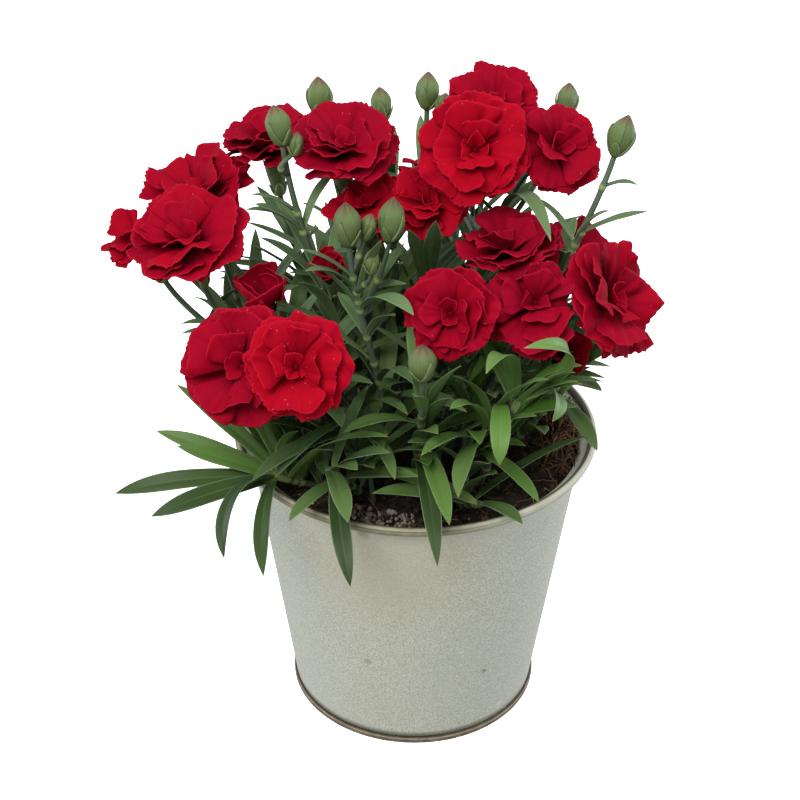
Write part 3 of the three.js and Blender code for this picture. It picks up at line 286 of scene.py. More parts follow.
def frame_about(axis):
    """Two directions square to an axis: the first level, the second completing a right-handed frame."""
    level = np.cross(axis, UP)
    if np.linalg.norm(level) < 0.001:
        level = np.array([1.0, 0, 0])
    level = unit(level)
    return level, np.cross(axis, level)


def soil_height(x, y):
    """Level inside the crown; outside it a product and a sum of slow sines make low mounds."""
    share = np.clip((np.hypot(x, y) - CROWN_RADIUS) / CROWN_EDGE, 0, 1)
    mounds = np.sin(0.19 * x + 1.1) * np.cos(0.23 * y - 0.4) + 0.6 * np.sin(0.41 * x - 0.37 * y)
    return SOIL_HEIGHT + SOIL_RELIEF * mounds * share


def wall_radius(z):
    """Radius of the pot's outside, straight from its foot to the bead."""
    return mix(FOOT_RADIUS - WALL_INSET, HEAD_RADIUS, (z - WALL_FOOT) / (WALL_HEAD - WALL_FOOT))


def meets_pot(samples, clear):
    """Whether each sample, [x, y, z, radius], is nearer than clear to the pot or the soil: it is, unless it
    lies above the rim, outside the wall, or inside the wall and above the soil."""
    x, y, z, radius = samples.T
    margin = radius + clear
    reach = np.hypot(x, y)
    away = (z > POT_HEIGHT + margin) | (reach > RIM_RADIUS + margin)
    away |= (z < WALL_HEAD) & (reach > wall_radius(z) + margin)
    inside = HEAD_RADIUS - SHEET - margin
    return ~away & ((reach > inside) | (z < soil_height(x, y) + margin))


class Room:
    """The samples of all placed pieces, [x, y, z, radius] each, kept with their piece's number and their
    cell in a cube of cells, CELL wide each and across of them each way."""

    def __init__(self, most=120000, across=128):
        self.spots = np.zeros((most, 4))
        self.owner = np.zeros(most, int)
        self.cell = np.zeros(most, int)
        self.used = 0
        self.names = {}
        self.across = across
        self.marked = np.zeros(across**3, bool)
        steps = np.arange(-1, 2)
        i, j, k = np.meshgrid(steps, steps, steps, indexing="ij")
        self.around = ((i * across + j) * across + k).ravel()

    def cells_of(self, samples):
        """Each sample's cell, counted through the cube row by row."""
        i, j, k = (np.floor(samples[:, :3] / CELL).astype(int) + self.across // 2).T
        return (i * self.across + j) * self.across + k

    def number(self, name):
        """A piece's number, given when its name is first asked for."""
        return self.names.setdefault(name, len(self.names))

    def place(self, samples, name):
        """Adds a piece's samples."""
        new = slice(self.used, self.used + len(samples))
        self.spots[new] = samples
        self.owner[new] = self.number(name)
        self.cell[new] = self.cells_of(samples)
        self.used = new.stop

    def is_clear(self, samples, ignored, clear):
        """Whether no placed sample in the cells round about is nearer than both radii and clear, apart from
        those of the ignored pieces."""
        if meets_pot(samples, clear).any():
            return False
        marks = (self.cells_of(samples)[:, None] + self.around).ravel()
        self.marked[marks] = True
        near = np.flatnonzero(self.marked[self.cell[: self.used]])
        self.marked[marks] = False
        near = near[~np.isin(self.owner[near], [self.number(name) for name in ignored])]
        found = self.spots[near]
        apart = ((samples[:, None, :3] - found[None, :, :3]) ** 2).sum(2)
        least = samples[:, 3, None] + found[None, :, 3] + clear
        return not (apart < least**2).any()


ROOM = Room()


def first_clear(tries, samples_of, ignored, clear=CLEAR):
    """The first of the tries that is clear of all placed pieces, or None."""
    return next((item for item in tries if ROOM.is_clear(samples_of(item), ignored, clear)), None)


class LeafCurve:
    """A leaf's midrib. It lies in a plane and its heading turns by bend from base to tip, faster towards the
    tip where power is over 1. The plane holds the line from base to tip and leans by lean."""

    def __init__(self, leaf):
        self.base = np.asarray(leaf["base"], float)
        chord = np.asarray(leaf["tip"], float) - self.base
        span = np.linalg.norm(chord)
        heading, rise = atan2(chord[1], chord[0]), asin(chord[2] / span)
        self.chord = chord / span
        upright = np.array([-sin(rise) * cos(heading), -sin(rise) * sin(heading), cos(rise)])
        aside = np.array([sin(heading), -cos(heading), 0])
        self.arch = upright * cos(leaf["lean"]) + aside * sin(leaf["lean"])
        self.side = np.cross(self.arch, self.chord)
        self.bend, self.power = leaf["bend"], leaf["power"]
        turn = -self.bend * ((np.arange(LEAF_STEPS) + 0.5) / LEAF_STEPS) ** self.power
        self.along = np.concatenate([[0], np.cumsum(np.cos(turn))])
        self.above = np.concatenate([[0], np.cumsum(np.sin(turn))])
        self.offset = atan2(self.above[-1], self.along[-1])
        self.scale = span / hypot(self.above[-1], self.along[-1])
        self.length = self.scale * LEAF_STEPS

    def at(self, s):
        """Points and normals at the shares s: steps of one length, each headed by the turn so far, scaled and
        turned so that they run from base to tip."""
        steps = np.arange(LEAF_STEPS + 1) / LEAF_STEPS
        x, y = np.interp(s, steps, self.along), np.interp(s, steps, self.above)
        a = self.scale * (x * cos(self.offset) + y * sin(self.offset))
        b = self.scale * (y * cos(self.offset) - x * sin(self.offset))
        points = self.base + np.outer(a, self.chord) + np.outer(b, self.arch)
        turn = -self.bend * s**self.power - self.offset
        return points, np.outer(np.cos(turn), self.arch) - np.outer(np.sin(turn), self.chord)


def leaf_half_width(width, s):
    """Narrow where the leaf clasps the stem, widest past the middle, pointed at the tip."""
    return 0.5 * width * np.minimum(0.16 + 4.2 * s, 0.5 + 1.03 * s) * (1 - s**4)


def spread_rows(s, half):
    """Rows of samples: for each share s, places q from -1 to 1 about SAMPLE_STEP apart."""
    counts = np.ceil(2 * half / SAMPLE_STEP).astype(int)
    rows = np.repeat(np.arange(len(s)), counts + 1)
    first = np.repeat(np.cumsum(counts + 1) - counts - 1, counts + 1)
    q = 2 * (np.arange(len(rows)) - first) / np.maximum(1, counts[rows]) - 1
    return rows, np.where(counts[rows] == 0, 0, q)


def leaf_samples(leaf, radius):
    """Rows of samples across a blade, about SAMPLE_STEP apart along its midrib and across it."""
    curve = LeafCurve(leaf)
    steps = ceil(curve.length / SAMPLE_STEP)
    s = np.arange(1, steps + 1) / steps
    points, _ = curve.at(s)
    half = np.maximum(0, leaf_half_width(leaf["width"], s) - 0.5 * SAMPLE_RADIUS)
    rows, q = spread_rows(s, half)
    spots = points[rows] + (q * half[rows])[:, None] * curve.side
    return np.column_stack([spots, np.full(len(spots), radius)])


def petal_half_width(petal, s):
    """A narrow claw that fans out to the petal's full width, sooner where fan is below 2."""
    return petal["half"] * (0.06 + 0.94 * np.minimum(1, s / 0.82) ** petal.get("fan", 2))


def petal_point(bloom, petal, s, q, lift):
    """A petal rises from the bloom's middle at the angle from, measured off the axis, and opens to the angle
    to. s runs from claw to edge and q across it. The point is lifted along the petal's own normal by a cup
    across it, a roll that lets neighbours overlap, a wave that grows to the edge, and lift."""
    axis, level, across = bloom["axis"], bloom["level"], bloom["across"]
    radial = level * cos(petal["azimuth"]) + across * sin(petal["azimuth"])
    tangent = np.cross(axis, radial)
    turn = petal["to"] - petal["from"]
    angle = petal["from"] + turn * s * (1 - 0.2 * q * q)
    out = PETAL_ROOT_RADIUS + petal["length"] * (cos(petal["from"]) - np.cos(angle)) / turn
    height = petal["root"] + petal["length"] * (np.sin(angle) - sin(petal["from"])) / turn
    wave = petal["wave"] * np.sin(3.1 * q + petal["phase"]) * s * s
    rise = petal["half"] * (petal["cup"] * q * q * s + petal["roll"] * q * s + wave) + lift
    point = bloom["mouth"] + (height + rise * np.sin(angle))[..., None] * axis
    point = point + (out - rise * np.cos(angle))[..., None] * radial
    return point + (petal_half_width(petal, s) * q)[..., None] * tangent


def petal_samples(bloom, petal):
    """Rows of samples over a petal, from a quarter of its length to its edge."""
    rows = ceil(petal["length"] / SAMPLE_STEP)
    s = np.arange(1, rows + 1) / rows
    s = s[s >= 0.25]
    row, q = spread_rows(s, petal_half_width(petal, s))
    spots = petal_point(bloom, petal, s[row], 0.95 * q, 0)
    return np.column_stack([spots, np.full(len(spots), SAMPLE_RADIUS)])


def cubic(path, t):
    """Points of a cubic curve at the shares t: its four control points weighed by Bernstein's polynomials."""
    t = np.asarray(t, float)[..., None]
    u = 1 - t
    p = np.asarray(path, float)
    return u**3 * p[0] + 3 * u * u * t * p[1] + 3 * u * t * t * p[2] + t**3 * p[3]


def path_samples(path, start):
    """Samples along a stem's cubic, from the share start to its end."""
    points = cubic(path, start + (1 - start) * np.arange(PATH_STEPS + 1) / PATH_STEPS)
    return np.column_stack([points, np.full(PATH_STEPS + 1, STEM_RADIUS)])


def round_samples(point, axis, profile):
    """Rings of eight samples on the side of a round piece: profile gives (height, radius) pairs."""
    level, across = frame_about(axis)
    angle = TAU * np.arange(8) / 8
    ring = np.outer(np.cos(angle), level) + np.outer(np.sin(angle), across)
    spots = [point + axis * h + ring * max(0, r - ROUND_SAMPLE_RADIUS) for h, r in profile]
    spots = np.concatenate(spots)
    return np.column_stack([spots, np.full(len(spots), ROUND_SAMPLE_RADIUS)])


def head_of(name):
    """Where a head's stem ends in it, and the way it faces: a calyx hangs its length below its bloom's mouth
    and a bud half its length below its middle."""
    if name in BLOOMS:
        axis, mouth = unit(BLOOMS[name]["axis"]), np.array(BLOOMS[name]["at"], float)
        return dict(name=name, axis=axis, mouth=mouth, foot=mouth - CALYX_LENGTH * axis)
    bud = BUDS[name]
    axis = unit(bud["axis"])
    foot = np.array(bud["at"], float) - axis * bud["length"] / 2
    return dict(name=name, axis=axis, foot=foot, length=bud["length"], width=bud["width"])


def head_profile(head):
    """Heights and radii of a calyx, or of a bud in shares of its length and half its width."""
    if head["name"] in BLOOMS:
        return [(1.5, 1.6), (4, 2.5), (6.5, 3), (9, 3.5), (11.5, 3.9), (CALYX_LENGTH - 1.5, 4.2)]
    shares = [(0.12, 0.6), (0.3, 0.9), (0.48, 1), (0.66, 0.84), (0.82, 0.55), (0.95, 0.3)]
    return [(h * head["length"], w * head["width"] / 2) for h, w in shares]


# The outer, middle and inner petals of a flat bloom: their angles off the axis at the claw and the edge,
# length and half width in shares, the claw's height in millimetres, the roll and the cup.
PETAL_LAYERS = (
    dict(start=0.78, end=1.66, share=1, wide=0.56, root=0.6, roll=0.2, cup=0),
    dict(start=0.6, end=1.4, share=0.93, wide=0.52, root=2.4, roll=0.24, cup=0.04),
    dict(start=0.36, end=1.08, share=0.68, wide=0.46, root=4, roll=0.3, cup=0.1),
)


def plan_bloom(name, index):
    """The petals of a bloom, layer by layer at even angles with drawn shifts, each bent or shortened until it
    is clear of the other pieces. The full length is the arc's whose reach is the bloom's radius."""
    facts, head = BLOOMS[name], head_of(name)
    level, across = frame_about(head["axis"])
    bloom = dict(name=name, mouth=head["mouth"], axis=head["axis"], level=level, across=across, petals=[])
    draw = draws_from(PETAL_SEED + index)
    folded = min(1, 0.3 + 0.7 * facts["opening"])
    start, end = PETAL_LAYERS[0]["start"] * folded, PETAL_LAYERS[0]["end"] * facts["opening"]
    full = (facts["radius"] - PETAL_ROOT_RADIUS) * (end - start) / (cos(start) - cos(end))
    turn = draw() * TAU
    for depth, (layer, count) in enumerate(zip(PETAL_LAYERS, facts["petals"])):
        for i in range(count):
            start = layer["start"] * folded + 0.1 * (draw() - 0.5)
            end = layer["end"] * facts["opening"] + 0.22 * (draw() - 0.5)
            length = full * layer["share"] * (1 + 0.1 * (draw() - 0.5))
            azimuth = turn + TAU * (i + 0.22 * (draw() - 0.5)) / count
            fixed = dict(azimuth=azimuth, root=layer["root"], roll=layer["roll"], cup=layer["cup"],
                         wave=0.1 + 0.08 * draw(), phase=TAU * draw(), layer=depth)
            tries = (
                {**fixed, "from": start, "to": max(start + 0.1, end + bend), "length": length * size,
                 "half": length * size * layer["wide"]}
                for size in (1, 0.9, 0.78, 0.62) for bend in (0, -0.18, 0.18, -0.36, -0.55)
            )
            petal = first_clear(tries, lambda item: petal_samples(bloom, item), [name, "calyx_" + name])
            if petal:
                ROOM.place(petal_samples(bloom, petal), name)
                bloom["petals"].append(petal)
        turn += pi / max(1, count) + 0.5
    return bloom


def plant_roots(tops):
    """Roots start below their flowers, drawn in by each one's share, and are pushed apart in pairs until they
    stand ROOT_SPACING from each other, within ROOT_REACH of the middle."""
    roots = [[top[0] * draw, top[1] * draw] for top, draw in tops]
    for _ in range(SPACING_ROUNDS):
        for i, a in enumerate(roots):
            for b in roots[i + 1 :]:
                dx, dy = b[0] - a[0], b[1] - a[1]
                distance = hypot(dx, dy)
                if 0 < distance < ROOT_SPACING:
                    push = 0.5 * (ROOT_SPACING - distance) / distance
                    a[0], a[1] = a[0] - dx * push, a[1] - dy * push
                    b[0], b[1] = b[0] + dx * push, b[1] + dy * push
        for root in roots:
            shrink = min(1, ROOT_REACH / hypot(*root))
            root[0], root[1] = root[0] * shrink, root[1] * shrink
    return roots


def plan_path(root, foot, axis, ignored, rise):
    """A stem leaves its root along rise and comes into its head along the head's axis. Its two inner control
    points are shifted aside, further each time and in eight directions, until it is clear."""
    root, rise = np.asarray(root, float), np.asarray(rise, float)
    distance = np.linalg.norm(foot - root)
    tries = []
    for aside in (0, 5, 10, 16, 24, 32):
        for turn in range(8 if aside else 1):
            shift = aside * np.array([cos(TAU * turn / 8), sin(TAU * turn / 8), 0])
            tries.append([root, root + rise * distance + shift / 3,
                          foot - axis * 0.3 * distance + shift, foot + axis])
    return first_clear(tries, lambda path: path_samples(path, 0.2), ignored) or tries[0]


def plan_stem(stem, root):
    """A stem's path from its root to its first head, or to its tip, and a side shoot to each other head."""
    start = np.array([root[0], root[1], SOIL_HEIGHT - ROOT_DEPTH])
    heads = [head_of(name) for name in stem.get("heads", ())]
    ignored = [stem["name"]] + ["calyx_" + head["name"] for head in heads]
    plan = dict(name=stem["name"], heads=heads, paths=[], leaves=[], ignored=ignored)
    if heads:
        plan["paths"].append(plan_path(start, heads[0]["foot"], heads[0]["axis"], ignored, (0, 0, 0.38)))
    else:
        tip = np.array(stem["tip"], float)
        away = unit(tip - start)
        plan["paths"].append(plan_path(start, tip, away, ignored, 0.3 * away + (0, 0, 0.05)))
    ROOM.place(path_samples(plan["paths"][0], 0.1), stem["name"])
    for head, fork in zip(heads[1:], stem.get("forks", ())):
        origin = cubic(plan["paths"][0], fork)
        rise = 0.3 * unit(head["foot"] - origin)
        plan["paths"].append(plan_path(origin, head["foot"], head["axis"], ignored, rise))
        ROOM.place(path_samples(plan["paths"][-1], 0), stem["name"])
    return plan


def grow_leaf(plan, tries, clear=CLEAR, radius=SAMPLE_RADIUS):
    """Adds the first of the tries that is clear, if there is one."""
    leaf = first_clear(tries, lambda item: leaf_samples(item, radius), plan["ignored"], clear)
    if leaf:
        ROOM.place(leaf_samples(leaf, radius), plan["name"])
        plan["leaves"].append(leaf)


def drawn_tries(plan, share, tip, bend, width, lean):
    """A drawn leaf keeps its place as seen from the front: it is tried nearer and further, then shorter."""
    base = cubic(plan["paths"][0], share)
    for size in (1, 0.86, 0.7):
        for near in (0, 4, -4, 8, -8, 12, -12):
            for extra in (0, 0.25, -0.25, 0.5):
                end = mix(base, np.array([tip[0], tip[1] - near, tip[2] - VIEW_SLOPE * near]), size)
                yield dict(base=base, tip=end, bend=bend + extra, power=LEAF_POWER, lean=lean, width=width,
                           share=share)


# The shares of its length, lifts and turns at which a paired leaf is tried: the full choice, and a quick one.
FULL_CHOICE = ((1, 0.84, 0.68, 0.5), (0, 0.25, -0.25, 0.5), (0, 0.25, -0.25, 0.5, -0.5, 0.8, -0.8))
QUICK_CHOICE = ((1, 0.7), (0, 0.3), (0, 0.4, -0.4))


def plan_pairs(plan, shares, seed, size=1, choice=FULL_CHOICE, clear=CLEAR, radius=SAMPLE_RADIUS):
    """Leaf pairs stand opposite, each square to the one below, longer, wider and flatter low on the plant.
    Each leaf's heading, span, width, rise, bend and lean are drawn about these, and it is tried shorter,
    higher and lower, and turned, in the order of choice."""
    draw = draws_from(seed)
    turn = draw() * TAU
    for share in shares:
        base = cubic(plan["paths"][0], share)
        height = min(1, max(0, (base[2] - SOIL_HEIGHT) / PAIR_CLIMB))
        for half in (0, pi):
            heading = turn + half + 0.5 * (draw() - 0.5)
            span = size * mix(*PAIR_SPAN, height) * (0.85 + 0.3 * draw())
            width = mix(*PAIR_WIDTH, height) * (0.9 + 0.2 * draw())
            rise = mix(*PAIR_RISE, height) + 0.5 * (draw() - 0.5)
            bend = 0.3 + 0.8 * draw()
            lean = 0.5 * (draw() - 0.5)
            fixed = dict(base=base, bend=bend, power=LEAF_POWER, lean=lean, width=width, share=share)

            def tries():
                """The same leaf with each tip in turn that stays within reach of the pot."""
                for part, lift, aside in product(*choice):
                    up, way = rise + lift, heading + aside
                    reach = np.array([cos(up) * cos(way), cos(up) * sin(way), sin(up)])
                    tip = base + span * part * reach
                    if hypot(*tip[:2]) < PAIR_REACH + PAIR_SPREAD * max(0, tip[2] - POT_HEIGHT):
                        yield {**fixed, "tip": tip}

            grow_leaf(plan, tries(), clear, radius)
        turn += pi / 2


def plan_plant():
    """Places calyces and buds first, then petals, stems, drawn leaves and leaf pairs, each clear of the
    pieces placed before it. Stems stand nearer the middle than their heads, by the share in tops."""
    for stem in FLOWER_STEMS:
        for head in map(head_of, stem["heads"]):
            ROOM.place(round_samples(head["foot"], head["axis"], head_profile(head)), "calyx_" + head["name"])
    blooms = [plan_bloom(name, i) for i, name in enumerate(BLOOMS)]
    every = FLOWER_STEMS + SHOOTS
    tops = [(s["tip"], 0.55) if "tip" in s else (head_of(s["heads"][0])["foot"], 0.42) for s in every]
    stems = [plan_stem(stem, root) for stem, root in zip(every, plant_roots(tops))]
    for plan, stem in zip(stems, every):
        for leaf in stem.get("leaves", ()):
            grow_leaf(plan, drawn_tries(plan, *leaf))
    for i, (plan, stem) in enumerate(zip(stems, every)):
        plan_pairs(plan, stem["pairs"], PAIR_SEED + i)
    return blooms, stems


# ---- meshes -----------------------------------------------------------------------------------------------


class Mesh:
    """Grids gathered into one mesh. Each point carries look, four numbers that its material reads, and grain,
    its place on the surface in millimetres, which becomes the UV map. Each face has a material's number."""

    def __init__(self):
        self.points, self.looks, self.grains, self.faces, self.paints = [], [], [], [], []
        self.count = 0

    def add(self, points, faces, look, grain, paint=0):
        """Appends points and faces, with one look and grain for all the points or one for each."""
        n = len(points)
        self.points.append(points)
        self.looks.append(np.broadcast_to(look, (n, 4)))
        self.grains.append(np.broadcast_to(grain, (n, 2)))
        self.faces.append(faces + self.count)
        self.paints.append(np.full(len(faces), paint))
        self.count += n

    def piece(self, name, materials, node=None):
        """Makes the object, in metres: faces are rows of four corners, the last repeated where a face has
        three. It rides on the root and, where a node is named, replaces it."""
        points = np.concatenate(self.points) * MM
        faces = np.concatenate(self.faces)
        sizes = np.where(faces[:, 3] == faces[:, 2], 3, 4)
        corners = faces[np.arange(4) < sizes[:, None]]
        data = bpy.data.meshes.new(name)
        data.vertices.add(len(points))
        data.vertices.foreach_set("co", points.astype(np.float32).ravel())
        data.loops.add(len(corners))
        data.loops.foreach_set("vertex_index", corners.astype(np.int32))
        data.polygons.add(len(faces))
        starts = np.concatenate([[0], np.cumsum(sizes)[:-1]])
        data.polygons.foreach_set("loop_start", starts.astype(np.int32))
        data.polygons.foreach_set("material_index", np.concatenate(self.paints).astype(np.int32))
        data.polygons.foreach_set("use_smooth", np.ones(len(faces), bool))
        data.update(calc_edges=True)
        look = data.attributes.new("look", "FLOAT_COLOR", "POINT")
        look.data.foreach_set("color", np.concatenate(self.looks).astype(np.float32).ravel())
        grain = np.concatenate(self.grains)[corners]
        data.uv_layers.new(name="grain").data.foreach_set("uv", grain.astype(np.float32).ravel())
        data.validate()
        obj = bpy.data.objects.new(name, data)
        bpy.context.scene.collection.objects.link(obj)
        for material in materials:
            data.materials.append(material)
        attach(obj, "root")
        if node:
            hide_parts(node)


def grid_faces(index):
    """The quads of a grid of point numbers: each point with its neighbours in the next column and row."""
    a, b, c, d = index[:-1, :-1], index[:-1, 1:], index[1:, 1:], index[1:, :-1]
    return np.stack([a, b, c, d], -1).reshape(-1, 4)


def add_blade(mesh, middle, half_thick, look, grain, paint=0):
    """A closed blade: the points of a grid moved half_thick forwards and back, its border shared by both
    faces. middle and half_thick are rows x columns x 3, look rows x columns x 4. Where the grid runs the
    other way round, the faces are turned to point outwards."""
    rows, columns = middle.shape[:2]
    front = np.arange(rows * columns).reshape(rows, columns)
    inner = np.zeros((rows, columns), bool)
    inner[1:-1, 1:-1] = True
    back = front.copy()
    back[inner] = rows * columns + np.arange(inner.sum())
    lift = half_thick * inner[..., None]
    points = np.concatenate([(middle + lift).reshape(-1, 3), (middle - lift)[inner]])
    looks = np.concatenate([look.reshape(-1, 4), look[inner]])
    grains = np.concatenate([grain.reshape(-1, 2), grain[inner]])
    faces = np.concatenate([grid_faces(front), grid_faces(back)[:, ::-1]])
    way = np.cross(middle[:-1, 1:] - middle[:-1, :-1], middle[1:, :-1] - middle[:-1, :-1])
    if (way * half_thick[:-1, :-1]).sum() < 0:
        faces = faces[:, ::-1]
    mesh.add(points, faces, looks, grains, paint)


def add_rings(mesh, rings, look, grain, paint=0):
    """A closed round body: rows of points round an axis, with a fan of triangles from the first row and from
    the last to that row's middle. rings is rows x sides x 3, look rows x sides x 4."""
    rows, sides = rings.shape[:2]
    index = np.arange(rows * sides).reshape(rows, sides)
    index = np.concatenate([index, index[:, :1]], 1)
    low, high = rows * sides, rows * sides + 1
    quads = grid_faces(index)
    foot = np.stack([np.full(sides, low), index[0, 1:], index[0, :-1], index[0, :-1]], -1)
    head = np.stack([np.full(sides, high), index[-1, :-1], index[-1, 1:], index[-1, 1:]], -1)
    points = np.concatenate([rings.reshape(-1, 3), [rings[0].mean(0)], [rings[-1].mean(0)]])
    looks = np.concatenate([look.reshape(-1, 4), [look[0, 0]], [look[-1, 0]]])
    grains = np.concatenate([grain.reshape(-1, 2), [grain[0, 0]], [grain[-1, 0]]])
    mesh.add(points, np.concatenate([quads, foot, head]), looks, grains, paint)


# A direction that no tube starts along.
ASLANT = (0.3, 0.9, 0.1)


def tube_rings(line, radius, sides):
    """Rings of a tube: a circle about each of the line's points, square to the line there, whose first
    direction is the last ring's, less what lies along the line, so that the tube doesn't twist."""
    ahead = np.gradient(line, axis=0)
    ahead /= np.linalg.norm(ahead, axis=1)[:, None]
    level = unit(np.cross(ahead[0], ASLANT))
    angle = TAU * np.arange(sides) / sides
    rings = []
    for point, way, r in zip(line, ahead, np.broadcast_to(radius, len(line))):
        level = unit(level - way * (level @ way))
        across = np.cross(way, level)
        rings.append(point + r * (np.outer(np.cos(angle), level) + np.outer(np.sin(angle), across)))
    return np.array(rings)


def flat_look(shape, a=0.0, b=0.0, c=0.0, d=0.0):
    """The same four numbers, or grids of numbers, at each point of a grid."""
    return np.stack([np.broadcast_to(v, shape) for v in (a, b, c, d)], -1).astype(float)


def grain_of(points, across, along):
    """Each point's place on its surface, in millimetres across and along, for a grid of points."""
    return np.stack([np.broadcast_to(v, points.shape[:2]) for v in (across, along)], -1)


def name_draws(name, times, plus):
    """Even draws that differ from name to name: the seed is worked out from the sum of its letters."""
    return draws_from(sum(map(ord, name)) * times + plus)


# ---- leaves, stems, calyces and buds ----------------------------------------------------------------------

# The numbers of a green piece's materials.
GREEN_LEAF, GREEN_STEM, GREEN_BUD = 0, 1, 2

LEAF_THICKNESS = 0.55
LEAF_COLUMNS = np.array([-1, -0.92, -0.55, -0.2, 0, 0.2, 0.55, 0.92, 1])
LEAF_CHANNEL = 0.24
LEAF_SWAY = 0.05
LEAF_TWIST = 0.35
KEEL_DEPTH = 0.45
KEEL_WIDTH = 0.16


def add_leaf(mesh, leaf):
    """A blade along the midrib, s from base to tip and q across it. Its edges rise in a channel by the 0.8th
    power of their distance from the midrib and sway in a slow sine, it twists with the square of s, and a
    bell curve across it makes a keel below the midrib that fades to the tip."""
    curve = LeafCurve(leaf)
    tone = leaf["tone"]
    rows = 12 + int(curve.length / 6)
    s = np.concatenate([[0, 0.03], np.linspace(0.07, 0.97, rows), [0.995, 1]])
    points, normals = curve.at(s)
    half = np.maximum(leaf_half_width(leaf["width"], s), 0.05)
    q = LEAF_COLUMNS
    twist = LEAF_TWIST * (tone - 0.5) * s**2
    side = curve.side * np.cos(twist)[:, None] + normals * np.sin(twist)[:, None]
    normals = normals * np.cos(twist)[:, None] - curve.side * np.sin(twist)[:, None]
    channel = LEAF_CHANNEL * np.abs(q) ** 0.8 * half[:, None]
    sway = LEAF_SWAY * half[:, None] * np.sin(9 * s[:, None] + 20 * tone + 1.5 * q) * np.abs(q)
    middle = points[:, None] + (half[:, None] * q)[..., None] * side[:, None]
    middle = middle + ((channel + sway) * np.minimum(1, 8 * s)[:, None])[..., None] * normals[:, None]
    body = 0.5 * LEAF_THICKNESS * (1 - 0.45 * np.abs(q)) * (1 - 0.5 * s[:, None])
    keel = KEEL_DEPTH * np.exp(-((q / KEEL_WIDTH) ** 2)) * (1 - s[:, None])
    middle = middle - (0.5 * keel)[..., None] * normals[:, None]
    thick = ((body + 0.5 * keel)[..., None]) * normals[:, None]
    look = flat_look(middle.shape[:2], s[:, None], np.abs(q), tone, leaf["youth"])
    grain = grain_of(middle, q * half[:, None], s[:, None] * curve.length)
    add_blade(mesh, middle, thick, look, grain, GREEN_LEAF)


STEM_SIDES = 10
JOINT_ROWS = np.array([-3, -1.6, 0, 1.6, 3])
JOINT_REACH = 1.5
JOINT_SWELL = 0.34


def add_stem(mesh, path, radius, joints, tint):
    """A round stem along its cubic: its radius falls evenly from foot to head, and bell curves along it swell
    it at the joints, where leaves clasp it and more rows are spent."""
    length = np.linalg.norm(np.diff(cubic(path, np.linspace(0, 1, 30)), axis=0), axis=1).sum()
    t = np.unique(np.concatenate([
        np.linspace(0, 1, int(length / 4) + 3),
        np.concatenate([joint + JOINT_ROWS / length for joint in joints] or [[]]),
    ]).clip(0, 1))
    swell = np.zeros(len(t))
    for joint in joints:
        swell = np.maximum(swell, np.exp(-(((t - joint) * length / JOINT_REACH) ** 2)))
    thickness = radius * (1.02 - 0.32 * t) * (1 + JOINT_SWELL * swell)
    rings = tube_rings(cubic(path, t), thickness, STEM_SIDES)
    look = flat_look(rings.shape[:2], t[:, None], swell[:, None], tint)
    angle = TAU * np.arange(STEM_SIDES) / STEM_SIDES
    grain = grain_of(rings, angle * radius, (t * length)[:, None])
    add_rings(mesh, rings, look, grain, GREEN_STEM)


def axis_frame(axis):
    """A function that gives points about an axis: r out from it at an angle, and h along it from its foot."""
    level, across = frame_about(axis)
    return lambda foot, r, angle, h: (
        foot + (r * np.cos(angle))[..., None] * level + (r * np.sin(angle))[..., None] * across
        + h[..., None] * axis
    )


HEAD_SIDES = 40
# The last number of a look says what the bud's paint is on.
CALYX_AGE, BUD_AGE, BRACT_AGE = 0.15, 0.5, 0.6
BRACT_THICKNESS = 0.44

# A calyx's radius against the share of its height, its wall, and how far its teeth rise and lean out.
CALYX_SHARES = [0, 0.02, 0.12, 0.5, 1]
CALYX_OUTLINE = [0.9, 1.5, 2.3, 3.2, CALYX_RADIUS - 0.15]
CALYX_WALL = 0.35
TOOTH_LENGTH = 3.4
TOOTH_LEAN = 0.5


def add_bract(mesh, foot, axis, azimuth, length, width, reach, lift, tint):
    """A pointed bract that hugs a calyx or bud: reach gives the body's radius at a height, over which the
    bract lies, its edges pressed in by the square of q and its tip lifted by the square of s."""
    place = axis_frame(axis)
    s = np.linspace(0, 1, 9)[:, None]
    q = np.linspace(-1, 1, 7)[None]
    half = 0.5 * width * (1 - s**2.2) ** 0.8 + 0.05
    h = s * length
    r = reach(h) + 0.35 + lift * s**2 - 0.25 * q * q
    angle = azimuth + half * q / np.maximum(r, 0.8)
    middle = place(foot, r, angle, h + 0 * q)
    outward = place(np.zeros(3), np.ones_like(r), angle, 0 * r)
    thick = outward * BRACT_THICKNESS / 2
    look = flat_look(middle.shape[:2], s, np.abs(q), tint, BRACT_AGE)
    add_blade(mesh, middle, thick, look, grain_of(middle, q * half, h), GREEN_BUD)


def add_bracts(mesh, head, turn, drop, lengths, width, reach, lift, tint):
    """Two pairs of bracts, square to each other and of two lengths, from drop below a head's foot."""
    foot = head["foot"] - drop * head["axis"]
    for k in range(4):
        azimuth = turn + k * pi / 2
        add_bract(mesh, foot, head["axis"], azimuth, lengths[k % 2], width, reach, lift, tint)


